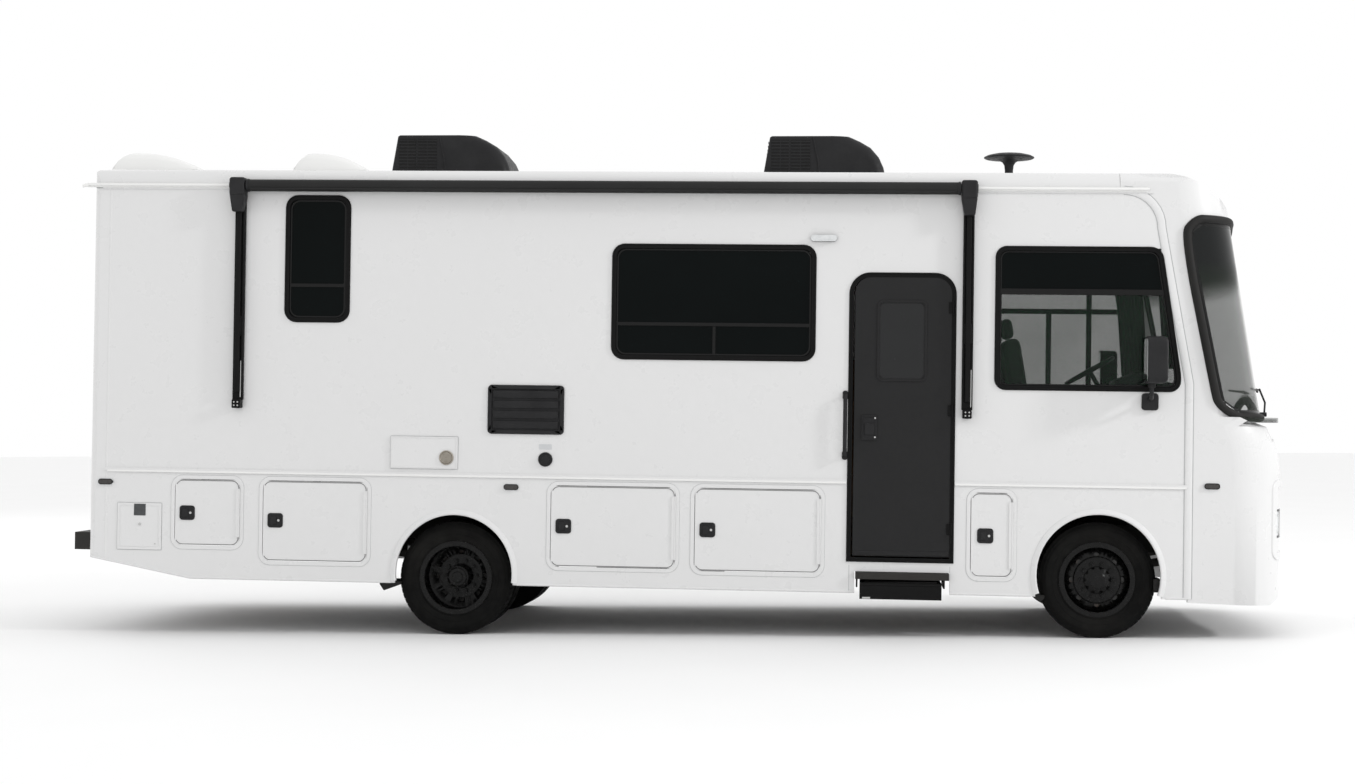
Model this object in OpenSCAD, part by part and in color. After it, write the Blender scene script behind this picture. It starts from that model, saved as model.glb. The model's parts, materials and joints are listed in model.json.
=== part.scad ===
// Family motorhome with a flat-fronted body on a ladder frame.
// Millimetres, X forward, Y to the left, Z up, wheels standing on Z = 0.

/* [Overall] */
// Distance between the axles
wheelbase = 4521; // [3800:1:5600]
// Radius of every tyre
tyre_radius = 405; // [340:1:490]
// Width over the side walls
body_width = 2565; // [2100:1:3100]
// Height of the roof skin above the body datum
roof_height = 3319; // [2900:1:4000]
// Nose-down rake of body and frame over the level wheels
rake_deg = 1; // [0:0.1:2]
// Rear axle to back wall
rear_overhang = 2690; // [2240:1:3240]
// Front axle to nose
front_overhang = 1370; // [1300:1:1600]
// Height of the rear axle above the body datum
axle_height = 405; // [380:1:430]

/* [Body] */
// Thickness of the laminated side walls
wall_thick = 50; // [30:1:60]
// Thickness of the lower skirt panels
skirt_thick = 20; // [12:1:30]
// Underside of the cabin floor
floor_bottom = 1090; // [1050:1:1140]
// Thickness of the cabin floor
floor_thick = 60; // [40:1:80]
// Height of the belt joint between wall and skirt
belt_height = 1133; // [1100:1:1180]
// Height of the drip rail joint between wall and roof
drip_height = 3191; // [2800:1:3900]
// Lower edge of the skirt
skirt_bottom = 366; // [330:1:420]
// Thickness of the moulded end caps
cap_thick = 45; // [30:1:60]
// Radius of the roof edges
roof_edge_radius = 95; // [60:1:110]

/* [Front] */
// Lean of the windshield from upright
windshield_lean = 9.5; // [5:0.5:15]
// Sweep radius of the front in plan
front_bow_radius = 5000; // [4000:50:8000]
// Radius of the front corners in plan
front_corner_radius = 380; // [250:5:420]
// Lower edge of the windshield
windshield_bottom = 1655; // [1600:5:1750]
// Upper edge of the windshield
windshield_top = 2998; // [2600:5:3050]
// Windshield glass thickness
windshield_thick = 10; // [6:1:14]

/* [Wheels] */
// Section width of a tyre
tyre_width = 225; // [200:1:250]
// Bead seat radius of the rims
rim_radius = 248; // [230:1:270]
// Centre spacing of the twin rear tyres
dual_spacing = 267; // [255:1:320]
// Distance from the side wall to the outer tyre face
wheel_inset = 60; // [40:1:90]
// Steering swing each way
steer_limit = 32; // [20:1:35]

/* [Openings] */
// Width of the entry door frame
door_frame_width = 747; // [640:1:860]
// Height of the top of the entry door frame
door_frame_top = 2608; // [2200:1:2800]
// Height of the bottom of the entry door frame
door_frame_bottom = 582; // [560:1:640]
// Thickness of the entry door
door_thick = 45; // [30:1:50]
// Gap round a moving door or lid
door_gap = 8; // [6:1:12]
// Top of the luggage locker doors
locker_top = 1076; // [1000:1:1080]
// Thickness of a locker door
locker_thick = 24; // [20:1:30]

/* [Frame] */
// Distance over the frame rails
rail_spacing = 864; // [760:1:960]
// Depth of the frame rails
rail_depth = 190; // [150:1:200]
// Underside of the frame rails
rail_bottom = 640; // [620:1:660]

/* [Output] */
// Part to show, or all of them

/* [Hidden] */
$fn = 96;

// ---- derived positions in the raked body frame, X from the rear axle ----
half_width = body_width / 2;
inner_half = half_width - wall_thick;
cr = cos(rake_deg);
sr = sin(rake_deg);
front_hub_x = wheelbase * cr - axle_height * sr;
front_hub_z = wheelbase * sr + axle_height * cr;
rear_hub_x = -axle_height * sr;
rear_hub_z = axle_height * cr;
floor_top = floor_bottom + floor_thick;
seam_x = front_hub_x + 607;
roof_seam_x = seam_x - 488;
back_x = -rear_overhang;
cap_depth = 130;
seam_gap = 1.5;
rear_seam_x = back_x + cap_depth;
nose_x = front_hub_x + front_overhang;
nose_corner = 150;
nose_corner_z = 1290;
hitch_x = back_x - 215;
hitch_z = 618;
hitch_half = 32;
hitch_bore = 25.8;
nose_reach = (nose_x - nose_corner) * cr + nose_corner_z * sr + nose_corner;
tail_reach = hitch_x;
centre_x = (nose_reach + tail_reach) / 2;
lift = tyre_radius - axle_height;

// wheel arches
arch_rise = 33;
rear_arch_r = tyre_radius + 20;
front_arch_r = tyre_radius + 25;
rear_arch_z = rear_hub_z + arch_rise;
front_arch_z = front_hub_z + arch_rise;
housing_half = tyre_radius + 100;
front_housing_half = tyre_radius + 112;
rear_housing_top = rear_arch_z + rear_arch_r + 45;
front_housing_top = front_arch_z + front_arch_r + 45;
housing_inner_y = rail_spacing / 2 + 90;

// tyres
outer_tyre_y = half_width - wheel_inset - tyre_width / 2;
inner_tyre_y = outer_tyre_y - dual_spacing;
kingpin_y = outer_tyre_y - 150;
kingpin_r = 17;
spindle_r = 30;
steer_ratio = 15;

// entry door
door_x0 = front_hub_x - 1742;
door_x1 = door_x0 + door_frame_width;
door_corner = 150;
door_cut = 12;
door_reveal = 34;
slab_x0 = door_x0 + door_reveal + door_gap;
slab_x1 = door_x1 - door_reveal + 14 - door_gap;
slab_z0 = door_frame_bottom + door_reveal + door_gap;
slab_z1 = door_frame_top - 22 - door_gap;
door_face_y = half_width + 8;
door_pin_x = slab_x1 + 6;
door_pin_y = half_width + 18;
door_window_x0 = slab_x0 + 175;
door_window_x1 = door_window_x0 + 308;
door_window_z0 = 1866;
door_window_z1 = 2394;
well_x0 = door_x0 + 12;
well_x1 = door_x1 - 12;
well_y1 = inner_half - 330;
well_y2 = inner_half - 640;

// lockers: start, end and lower edge of each door
mid_start = 686;
mid_gap = 143;
mid_end = door_x0 - 183;
mid_length = (mid_end - mid_start - mid_gap) / 2;
locker_1 = [rear_seam_x + 516, rear_seam_x + 986, 608];
locker_2 = [-1397, rear_hub_x - housing_half - 132, 507];
locker_3 = [mid_start, mid_start + mid_length, 509];
locker_4 = [mid_end - mid_length, mid_end, 499];
locker_5 = [front_hub_x - 877, front_hub_x - 594, 496];
bay_depth = inner_half - rail_spacing / 2 - 110;
bay_skin = 6;
pin_out = 9;

// windows: start, end, lower and upper edge of each outer frame
frame_lap = 12;
frame_face = 38;
bedroom = [-1268, -790, 2216, min(3130, drip_height - 40)];
living = [1095, door_x0 - 231, 1977, 2798];
galley = [door_x0 + 90, door_x0 + 640, 2240, 2798];
cab_x0 = front_hub_x - 730;
cab_x1 = seam_x - 58;
cab_z0 = 1795;
cab_z1 = 2800;

// ---------------------------------------------------------------- helpers
// the level frame that the wheels stand in
module on_ground() translate([-centre_x, 0, 0]) children();

// the raked frame that body and rails share
module on_body() translate([-centre_x, 0, lift]) rotate([0, rake_deg, 0]) children();

module rounded(x0, z0, x1, z1, r) {
    translate([x0 + r, z0]) square([x1 - x0 - 2 * r, z1 - z0]);
    translate([x0, z0 + r]) square([x1 - x0, z1 - z0 - 2 * r]);
    for (x = [x0 + r, x1 - r])
        for (z = [z0 + r, z1 - r])
            translate([x, z]) circle(r = r);
}

// an upright sheet drawn in X and Z, from y0 to y0 + thick
module sheet(y0, thick)
    translate([0, y0 + thick, 0]) rotate([90, 0, 0]) linear_extrude(thick) children();

// the same sheet measured in from the outer skin of one side, side = -1 right, 1 left
module side_sheet(side, from_skin, thick)
    sheet(side < 0 ? -half_width + from_skin : half_width - from_skin - thick, thick)
        children();

module block(x0, x1, y0, y1, z0, z1)
    translate([x0, y0, z0]) cube([x1 - x0, y1 - y0, z1 - z0]);

module rod_x(x0, x1, y, z, r)
    translate([x0, y, z]) rotate([0, 90, 0]) cylinder(r = r, h = x1 - x0);

module rod_y(x, y0, y1, z, r)
    translate([x, y0, z]) rotate([-90, 0, 0]) cylinder(r = r, h = y1 - y0);

// ---------------------------------------------------------------- outlines
// everything behind the joint between side wall and front cap
module behind_seam() {
    translate([back_x - 100, 0]) square([roof_seam_x - back_x + 100, roof_height + 200]);
    square([seam_x, 1850]);
    polygon([[0, 1850], [seam_x, 1850], [seam_x - 200, drip_height - 260],
             [0, drip_height - 260]]);
    translate([roof_seam_x - 10, drip_height - 260]) square([50, 260]);
    translate([seam_x - 460, drip_height - 260]) circle(r = 260);
}

module door_outline(lap) {
    x0 = door_x0 + lap;
    x1 = door_x1 - lap;
    z0 = door_frame_bottom + lap;
    z1 = door_frame_top - lap;
    r = door_corner - lap;
    translate([x0, z0]) square([x1 - x0, z1 - z0 - r]);
    translate([x0 + r, z1 - r - 1]) square([x1 - x0 - 2 * r, r + 1]);
    translate([x0 + r, z1 - r]) circle(r = r);
    translate([x1 - r, z1 - r]) circle(r = r);
}

module slab_outline(grow) {
    x0 = slab_x0 - grow;
    x1 = slab_x1 + grow;
    z0 = slab_z0 - grow;
    z1 = slab_z1 + grow;
    r = door_corner - 40 + grow;
    translate([x0, z0]) square([x1 - x0, z1 - z0 - r]);
    translate([x0 + r, z1 - r - 1]) square([x1 - x0 - 2 * r, r + 1]);
    translate([x0 + r, z1 - r]) circle(r = r);
    translate([x1 - r, z1 - r]) circle(r = r);
}

module cab_outline(lap) {
    r = 80 - lap / 2;
    difference() {
        rounded(cab_x0 + lap, cab_z0 + lap, cab_x1 - lap, cab_z1 - lap, r);
        translate([cab_x1 - lap * 1.05, 1915]) rotate(8.7) square([300, 1200]);
    }
}

module window_outline(w, lap, r = 90)
    rounded(w[0] + lap, w[2] + lap, w[1] - lap, w[3] - lap, r - lap / 2);

module right_windows(lap) {
    window_outline(bedroom, lap);
    window_outline(living, lap);
    cab_outline(lap);
}

module left_windows(lap) {
    window_outline(bedroom, lap);
    window_outline(living, lap);
    window_outline(galley, lap);
    cab_outline(lap);
}

module locker_outline(k, grow)
    rounded(k[0] - grow, k[2] - grow, k[1] + grow, locker_top + grow, 40 + grow);

// straight-sided opening with a round top, the round a hair narrower than the sides
module arch_outline(hub_x, z, r) {
    translate([hub_x, z]) circle(r = r - 0.4);
    translate([hub_x - r, 0]) square([2 * r, z]);
}

module skirt_outline() {
    difference() {
        polygon([[rear_seam_x, belt_height], [rear_seam_x, 484], [-1928, skirt_bottom],
                 [seam_x, skirt_bottom], [seam_x, belt_height]]);
        arch_outline(rear_hub_x, rear_arch_z, rear_arch_r);
        arch_outline(front_hub_x, front_arch_z, front_arch_r);
    }
}

// ---------------------------------------------------------------- front cap
// plan of the front, swept from side to side, nose at x = 0, shrunk by t
module front_plan(t, back) {
    rb = front_bow_radius - t;
    rc = front_corner_radius - t;
    hw = half_width - t;
    cx = -front_bow_radius
         + sqrt(pow(front_bow_radius - front_corner_radius, 2)
                - pow(half_width - front_corner_radius, 2));
    yt = (half_width - front_corner_radius) * front_bow_radius
         / (front_bow_radius - front_corner_radius);
    intersection() {
        translate([-front_bow_radius, 0]) circle(r = rb, $fn = 720);
        translate([-back, -yt]) square([back + 100, 2 * yt]);
    }
    for (s = [-1, 1])
        translate([cx, s * (half_width - front_corner_radius)]) circle(r = rc);
    translate([-back, -hw]) square([back + cx, 2 * hw]);
}

// cross-section of the body with its rounded roof edges, shrunk by t
module body_section(t, z0, ease = 0) {
    hw = half_width - t + ease;
    zt = roof_height - t;
    r = roof_edge_radius - t / 2;
    translate([-hw, z0]) square([2 * hw, zt - r - z0]);
    translate([-hw + r, zt - r - 1]) square([2 * (hw - r), r + 1]);
    for (s = [-1, 1])
        translate([s * (hw - r), zt - r]) intersection() {
            circle(r = r);
            translate([-r, z0 - zt + r]) square([2 * r, zt - z0]);
        }
}

module section_solid(x0, x1, t, z0, ease = 0)
    translate([x0, 0, 0]) rotate([90, 0, 90]) linear_extrude(x1 - x0)
        body_section(t, z0, ease);

// side profile of the upper front, brow arc and windshield
brow_r = 830;
brow_rise = 12;
brow_x = nose_x - 1060;
cowl_z = 1600;
cowl_x = nose_x - 124;

module upper_profile(t) {
    zb = roof_height + brow_rise - brow_r;
    translate([roof_seam_x - 5, cowl_z - 60])
        square([brow_x - roof_seam_x + 5, roof_height + 5 - t - cowl_z + 60]);
    translate([brow_x, zb]) circle(r = brow_r - t);
    translate([brow_x - 1, cowl_z - 60]) square([900, zb + 330 - cowl_z]);
}

module lower_profile(t) {
    r = nose_corner;
    x1 = nose_x - t;
    polygon([[seam_x - 600, skirt_bottom - 6 - (t > 0 ? 400 : 0)],
             [x1 - 180, skirt_bottom - 36 - (t > 0 ? 400 : 0)],
             [x1 - 60, 400 - (t > 0 ? 400 : 0)], [x1, 500 - (t > 0 ? 400 : 0)],
             [x1, nose_corner_z], [x1 - r + 30, nose_corner_z],
             [x1 - r + 30, cowl_z + 30 - t], [seam_x - 600, cowl_z + 30 - t]]);
    translate([x1 - r, nose_corner_z]) circle(r = r);
    translate([x1 - r - 60, nose_corner_z]) square([120, 200]);
}

module front_solid(t) {
    // upper part leans back with the windshield
    intersection() {
        sheet(-half_width - 10, body_width + 20) upper_profile(t);
        translate([cowl_x, 0, cowl_z]) rotate([0, -windshield_lean, 0])
            translate([0, 0, -300]) linear_extrude(2400) front_plan(t, 1700);
        section_solid(roof_seam_x - 10, nose_x, t, cowl_z - 50, 3);
    }
    // lower nose stands upright
    intersection() {
        sheet(-half_width - 10, body_width + 20) lower_profile(t);
        translate([nose_x + 6, 0, skirt_bottom - 500]) linear_extrude(1900)
            front_plan(t, 1700);
    }
}

module windshield_zone() {
    z0 = windshield_bottom;
    z1 = windshield_top;
    r = 110;
    xa = seam_x + 178;
    xb = seam_x - 45;
    // lower edge falls a little towards the middle, rear edge leans with the corner
    difference() {
        translate([seam_x - 100, z0 - 60]) square([900, z1 - z0 + 60]);
        polygon([[seam_x - 200, z0 - 100], [xa + 330, z0 - 100], [xa + 90, z0 + 10],
                 [xa + 20, z0 + 60], [xa, z0 + 130], [xb, z1 - 130], [xb + 20, z1 - 60],
                 [xb + 100, z1 + 1], [seam_x - 200, z1 + 1]]);
    }
}

module headlamp_zone(s)
    block(nose_x - 330, nose_x + 60, s * 940 - 165, s * 940 + 165, 800, 985);

module front_cap() {
    color("white") on_body() difference() {
        front_solid(0);
        front_solid(cap_thick);
        sheet(-half_width - 20, body_width + 40) translate([seam_gap, seam_gap]) behind_seam();
        sheet(-half_width - 20, body_width + 40) windshield_zone();
        for (s = [-1, 1]) headlamp_zone(s);
        // air inlet slots in the nose
        for (i = [0 : 3])
            block(nose_x - 200, nose_x + 60, -560, 560, 760 + i * 105, 825 + i * 105);
        // open underside
        block(seam_x - 700, nose_x - 260, -half_width + cap_thick, half_width - cap_thick,
              skirt_bottom - 100, skirt_bottom + 40);
    }
}

module windshield() {
    color("grey") on_body() intersection() {
        difference() {
            front_solid(0.5);
            front_solid(windshield_thick);
        }
        sheet(-half_width - 20, body_width + 40) windshield_zone();
    }
}

// ---------------------------------------------------------------- body shell
module wall(side) {
    belt_y = side < 0 ? -half_width - 8 : half_width;
    difference() {
        union() {
            side_sheet(side, 0, wall_thick) intersection() {
                translate([rear_seam_x, belt_height])
                    square([seam_x - rear_seam_x, drip_height - belt_height]);
                behind_seam();
            }
            // belt rail and drip rail
            block(rear_seam_x - 10, seam_x, belt_y, belt_y + 8, belt_height, belt_height + 22);
            block(rear_seam_x - 60, seam_x - 260, belt_y, belt_y + 8, drip_height - 22,
                  drip_height - 2);
        }
        if (side < 0) {
            side_sheet(side, -20, wall_thick + 40) right_windows(frame_lap);
            side_sheet(side, -20, wall_thick + 40) door_outline(door_cut);
            side_sheet(side, -20, 20) door_outline(-1);
        } else {
            side_sheet(side, -20, wall_thick + 40) left_windows(frame_lap);
        }
    }
}

module right_wall() color("white") on_body() wall(-1);

module left_wall() color("white") on_body() wall(1);

module right_skirt() {
    color("white") on_body() side_sheet(-1, 0, skirt_thick) difference() {
        skirt_outline();
        for (k = [locker_1, locker_2, locker_3, locker_4, locker_5])
            locker_outline(k, door_gap - 2);
        door_outline(door_cut);
        translate([door_x0 + 60, 0]) square([door_frame_width - 85, 516]);
    }
}

module left_skirt() {
    color("white") on_body() side_sheet(1, 0, skirt_thick) difference() {
        skirt_outline();
        for (k = [locker_2, locker_3, locker_4]) locker_outline(k, door_gap - 2);
    }
}

module roof() {
    color("white") on_body() difference() {
        section_solid(rear_seam_x, roof_seam_x, 0, drip_height);
        block(rear_seam_x - 1, roof_seam_x + 1, -inner_half, inner_half,
              drip_height - 1, drip_height + 39);
    }
}

module rear_solid(t) {
    // the rounds run a little past the flats, so that they cross them cleanly
    cross = 2;
    intersection() {
        section_solid(back_x - 10, rear_seam_x, t, 300);
        sheet(-half_width - 10, body_width + 20) {
            r = 60 - t / 2;
            x0 = back_x + t;
            translate([x0, 511 - (t > 0 ? 200 : 0)])
                square([cap_depth + 10, roof_height - 511 - r - t + (t > 0 ? 200 : 0)]);
            translate([x0 + r, roof_height - t - r + cross]) circle(r = r);
            translate([x0 + r, roof_height - t - r - 1]) square([cap_depth, r + 1 + cross]);
        }
        linear_extrude(roof_height + 20) {
            r = 70 - t / 2;
            hw = half_width - t + cross;
            x1 = back_x + t - cross;
            translate([x1 + r, -hw]) square([cap_depth, 2 * hw]);
            translate([x1, -hw + r]) square([cap_depth, 2 * (hw - r)]);
            for (s = [-1, 1]) translate([x1 + r, s * (hw - r)]) circle(r = r);
        }
    }
}

rear_window_half = 480;
rear_window_z0 = 1900;
rear_window_z1 = 2420;
tail_lamp_y = half_width - 220;

module rear_cap() {
    color("white") on_body() difference() {
        rear_solid(0);
        rear_solid(cap_thick);
        translate([back_x - 20, 0, 0]) rotate([90, 0, 90]) linear_extrude(cap_thick + 40)
            rounded(-rear_window_half, rear_window_z0, rear_window_half, rear_window_z1, 70);
        for (s = [-1, 1])
            block(back_x - 20, back_x + 24, s * tail_lamp_y - 75, s * tail_lamp_y + 75,
                  760, 1080);
        // holes for the bumper brackets
        for (s = [-1, 1])
            block(back_x - 1, back_x + cap_thick + 1, s * (rail_spacing / 2 - 35) - 36,
                  s * (rail_spacing / 2 - 35) + 36, 584, 666);
        // straight lower edge
        translate([back_x - 1, -half_width - 5, 300]) cube([cap_depth + 2, body_width + 10, 212]);
    }
}

module floor() {
    color("tan") on_body() {
        difference() {
            union() {
                block(back_x + cap_thick + 5, rear_seam_x, -inner_half + 60, inner_half - 60,
                      floor_bottom, floor_top);
                block(rear_seam_x, seam_x + 240, -inner_half, inner_half, floor_bottom,
                      floor_top);
            }
            block(well_x0, well_x1, -inner_half - 1, -well_y2, floor_bottom - 1, floor_top + 1);
        }
        // stepped well inside the entry door
        difference() {
            block(well_x0, well_x1, -inner_half, -well_y2, door_frame_bottom, floor_bottom);
            block(well_x0 + 15, well_x1 - 15, -inner_half - 1, -well_y1,
                  door_frame_bottom + 20, floor_bottom + 1);
            block(well_x0 + 15, well_x1 - 15, -well_y1 - 1, -well_y2 - 15,
                  (door_frame_bottom + floor_top) / 2, floor_bottom + 1);
            block(well_x0 - 1, well_x1 + 1, -well_y1 + 15, -well_y2 + 1,
                  door_frame_bottom - 1, (door_frame_bottom + floor_top) / 2 - 20);
        }
    }
}

module housing(hub_x, half, top, s) {
    y0 = s < 0 ? -half_width + skirt_thick : housing_inner_y;
    y1 = s < 0 ? -housing_inner_y : half_width - skirt_thick;
    block(hub_x - half, hub_x + half, y0, y1, top, top + 5);
    for (e = [hub_x - half, hub_x + half - 5])
        block(e, e + 5, y0, y1, rail_bottom - 80, top);
}

module wheel_housings() {
    color("dimgray") on_body() for (s = [-1, 1]) {
        housing(rear_hub_x, housing_half, rear_housing_top, s);
        housing(front_hub_x, front_housing_half, front_housing_top, s);
    }
}

module bay(k, s) {
    y0 = s < 0 ? -half_width + skirt_thick + 12 : half_width - skirt_thick - 12 - bay_depth;
    x0 = k[0] + 14;
    x1 = k[1] - 14;
    z0 = k[2] + 14;
    z1 = min(locker_top - 14, floor_bottom - 62);
    difference() {
        block(x0 - bay_skin, x1 + bay_skin, y0, y0 + bay_depth, z0 - bay_skin, z1 + bay_skin);
        block(x0, x1, s < 0 ? y0 - 1 : y0 + bay_skin, y0 + bay_depth + (s < 0 ? -bay_skin : 1),
              z0, z1);
    }
}

module storage_bays() {
    color("gray") on_body() {
        for (k = [locker_1, locker_2, locker_3, locker_4, locker_5]) bay(k, -1);
        for (k = [locker_2, locker_3, locker_4]) bay(k, 1);
    }
}

// ---------------------------------------------------------------- windows
module window_ring(side, w)
    difference() {
        union() {
            side_sheet(side, -7, 7) window_outline(w, 0);
            side_sheet(side, 0, wall_thick) window_outline(w, frame_lap);
        }
        side_sheet(side, -20, wall_thick + 40) window_outline(w, frame_face);
    }

module cab_ring(side) {
    difference() {
        union() {
            side_sheet(side, -7, 7) cab_outline(0);
            side_sheet(side, 0, wall_thick) cab_outline(frame_lap);
        }
        side_sheet(side, -20, wall_thick + 40) difference() {
            cab_outline(frame_face);
            translate([cab_x0, 2462]) square([cab_x1 - cab_x0, 42]);
        }
    }
}

module window_frames() {
    color("black") on_body() {
        window_ring(-1, bedroom);
        window_ring(-1, living);
        cab_ring(-1);
        window_ring(1, bedroom);
        window_ring(1, living);
        window_ring(1, galley);
        cab_ring(1);
        // rear window
        translate([back_x - 7, 0, 0]) rotate([90, 0, 90]) linear_extrude(cap_thick + 7)
            difference() {
                rounded(-rear_window_half, rear_window_z0, rear_window_half, rear_window_z1, 70);
                rounded(-rear_window_half + 36, rear_window_z0 + 36, rear_window_half - 36,
                        rear_window_z1 - 36, 50);
            }
    }
}

module window_glass() {
    color("dimgray") on_body() {
        for (s = [-1, 1]) {
            for (w = s < 0 ? [bedroom, living] : [bedroom, living, galley])
                side_sheet(s, 8, 8) window_outline(w, frame_face);
            side_sheet(s, 8, 8) difference() {
                cab_outline(frame_face);
                translate([cab_x0, 2462]) square([cab_x1 - cab_x0, 42]);
            }
        }
        translate([back_x + 8, 0, 0]) rotate([90, 0, 90]) linear_extrude(8)
            rounded(-rear_window_half + 36, rear_window_z0 + 36, rear_window_half - 36,
                    rear_window_z1 - 36, 50);
    }
}

// ---------------------------------------------------------------- entry door
module entry_door_frame() {
    color("black") on_body() {
        side_sheet(-1, -10, 10) difference() {
            door_outline(0);
            slab_outline(door_gap);
        }
        side_sheet(-1, 0, wall_thick) difference() {
            door_outline(door_cut);
            slab_outline(door_gap);
        }
        // grab handle behind the door
        translate([door_x0 - 18, -half_width - 45, 1310]) cylinder(r = 15, h = 450);
        for (z = [1325, 1730])
            rod_y(door_x0 - 18, -half_width - 45, -half_width, z, 12);
    }
}

module entry_door() {
    color("black") on_body() {
        difference() {
            sheet(-door_face_y, door_thick) slab_outline(0);
            sheet(-door_face_y - 5, door_thick + 10)
                rounded(door_window_x0, door_window_z0, door_window_x1, door_window_z1, 40);
        }
        // dark pane
        sheet(-door_face_y + 12, 8)
            rounded(door_window_x0, door_window_z0, door_window_x1, door_window_z1, 40);
        // latch housing
        sheet(-door_face_y - 22, 22) rounded(slab_x0 + 50, 1436, slab_x0 + 150, 1608, 24);
        // hinge knuckles on the front edge
        for (z = [slab_z0 + 150, (slab_z0 + slab_z1) / 2, slab_z1 - 260])
            translate([door_pin_x, -door_pin_y, z]) {
                cylinder(r = 7, h = 90);
                translate([-30, 2, 0]) cube([30, door_pin_y - door_face_y - 2, 90]);
            }
    }
}

// ---------------------------------------------------------------- entry step
step_x0 = door_x0 + 97;
step_x1 = door_x1 - 81;

module step_housing() {
    color("black") on_body() {
        block(door_x0 + 66, door_x1 - 30, -half_width - 40, -half_width + 430, 464, 512);
        for (x = [step_x0 - 26, step_x1 + 14])
            block(x, x + 12, -half_width + 60, -half_width + 430, 400, 464);
    }
}

module entry_step() {
    color("dimgray") on_body() {
        block(step_x0, step_x1, -half_width - 30, -half_width + 300, 420, 440);
        block(step_x0, step_x1, -half_width - 36, -half_width - 20, 326, 420);
        for (x = [step_x0, step_x1 - 8])
            block(x, x + 8, -half_width - 20, -half_width + 300, 350, 420);
    }
}

// ---------------------------------------------------------------- locker doors
module locker_door(k, s) {
    color("white") on_body() {
        side_sheet(s, -4, locker_thick) locker_outline(k, 0);
        // hinge barrel and leaf on the front edge
        translate([k[1] + 1, s * (half_width + pin_out), k[2] + 60])
            cylinder(r = 4.5, h = locker_top - k[2] - 120);
        y0 = s < 0 ? -half_width - pin_out - 2 : half_width + 4;
        block(k[1] - 22, k[1] + 1, y0, y0 + pin_out - 2, k[2] + 60, locker_top - 60);
    }
}

module locker_door_right_1() locker_door(locker_1, -1);

module locker_door_right_2() locker_door(locker_2, -1);

module locker_door_right_3() locker_door(locker_3, -1);

module locker_door_right_4() locker_door(locker_4, -1);

module locker_door_right_5() locker_door(locker_5, -1);

module locker_door_left_1() locker_door(locker_2, 1);

module locker_door_left_2() locker_door(locker_3, 1);

module locker_door_left_3() locker_door(locker_4, 1);

// ---------------------------------------------------------------- roof fittings
ac_1_x = -721;
ac_2_x = front_hub_x - 2400;
ac_height = 376;

// upright rear face, flat top and a round nose
module roof_ac(x0)
    translate([x0, 0, roof_height]) sheet(-330, 660)
        polygon([[14, 0], [0, 110], [42, ac_height - 10], [58, ac_height], [640, ac_height],
                 [716, ac_height - 34], [795, ac_height - 80], [858, 224], [893, 147],
                 [905, 90], [905, 0]]);

module roof_air_conditioners() {
    color("black") on_body() {
        roof_ac(ac_1_x);
        roof_ac(ac_2_x);
    }
}

vent_width = 480;
vent_height = 155;
vent_crest = 110;
vent_side = half_width - 440;

// round rear face, then a long slope to the front
function vent_outline(length) = concat(
    [for (a = [0:11.25:90]) [vent_crest * (1 - cos(a)), vent_height * sin(a)]],
    [for (u = [0.1:0.1:1.01])
        [vent_crest + u * (length - vent_crest), vent_height * max(0, 1 - pow(u, 2.4))]]);

module vent_cover(x0, length)
    translate([x0, 0, roof_height]) sheet(-vent_side - vent_width / 2, vent_width)
        polygon(vent_outline(length));

module roof_vent_covers() {
    color("white") on_body() {
        vent_cover(back_x + 60, 640);
        vent_cover(-1275, 530);
    }
}

module roof_antenna() {
    color("white") on_body() translate([front_hub_x - 559, 0, roof_height]) {
        cylinder(r = 50, h = 233);
        translate([0, 0, 233]) cylinder(r = 190, h = 60);
    }
}

// ---------------------------------------------------------------- awning
awning_x0 = -1524;
awning_x1 = door_x1 + 4;
awning_z = drip_height;
awning_y = half_width + 66;

module awning_roller() {
    color("black") on_body() {
        rod_x(awning_x0, awning_x1, -awning_y, awning_z, 44);
        for (x = [awning_x0 - 140, awning_x1 + 8])
            block(x, x + 132, -half_width - 118, -half_width - 9, awning_z - 160,
                  awning_z + 56);
    }
}

module awning_arms() {
    color("black") on_body() {
        for (a = [[awning_x0 - 106, 1655], [awning_x1 + 36, 1652]]) {
            block(a[0], a[0] + 76, -half_width - 34, -half_width - 9, a[1],
                  awning_z - 160);
            block(a[0] + 14, a[0] + 62, -half_width - 68, -half_width - 40, a[1] + 60,
                  awning_z - 160);
            block(a[0] + 8, a[0] + 68, -half_width - 74, -half_width, a[1] - 60, a[1]);
        }
    }
}

// ---------------------------------------------------------------- outside fittings
module bumper_beam() {
    // beam, carried through the cap from the rail ends
    block(back_x - 150, back_x - 30, -half_width + 140, half_width - 140, 550, 676);
    for (s = [-1, 1])
        block(back_x - 30, rail_x0, s * (rail_spacing / 2 - 35) - 30,
              s * (rail_spacing / 2 - 35) + 30, 590, 660);
}

module rear_bumper() {
    color("black") difference() {
        union() {
            on_body() bumper_beam();
            // level square hitch receiver, let into the beam
            on_ground() translate([0, 0, lift])
                block(hitch_x, back_x - 60, -hitch_half, hitch_half,
                      hitch_z - hitch_half, hitch_z + hitch_half);
        }
        // its socket and pin hole
        on_ground() translate([0, 0, lift]) {
            block(hitch_x - 1, back_x - 70, -hitch_bore, hitch_bore,
                  hitch_z - hitch_bore, hitch_z + hitch_bore);
            rod_y(hitch_x + 64, -60, 60, hitch_z, 8.2);
        }
    }
}

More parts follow.
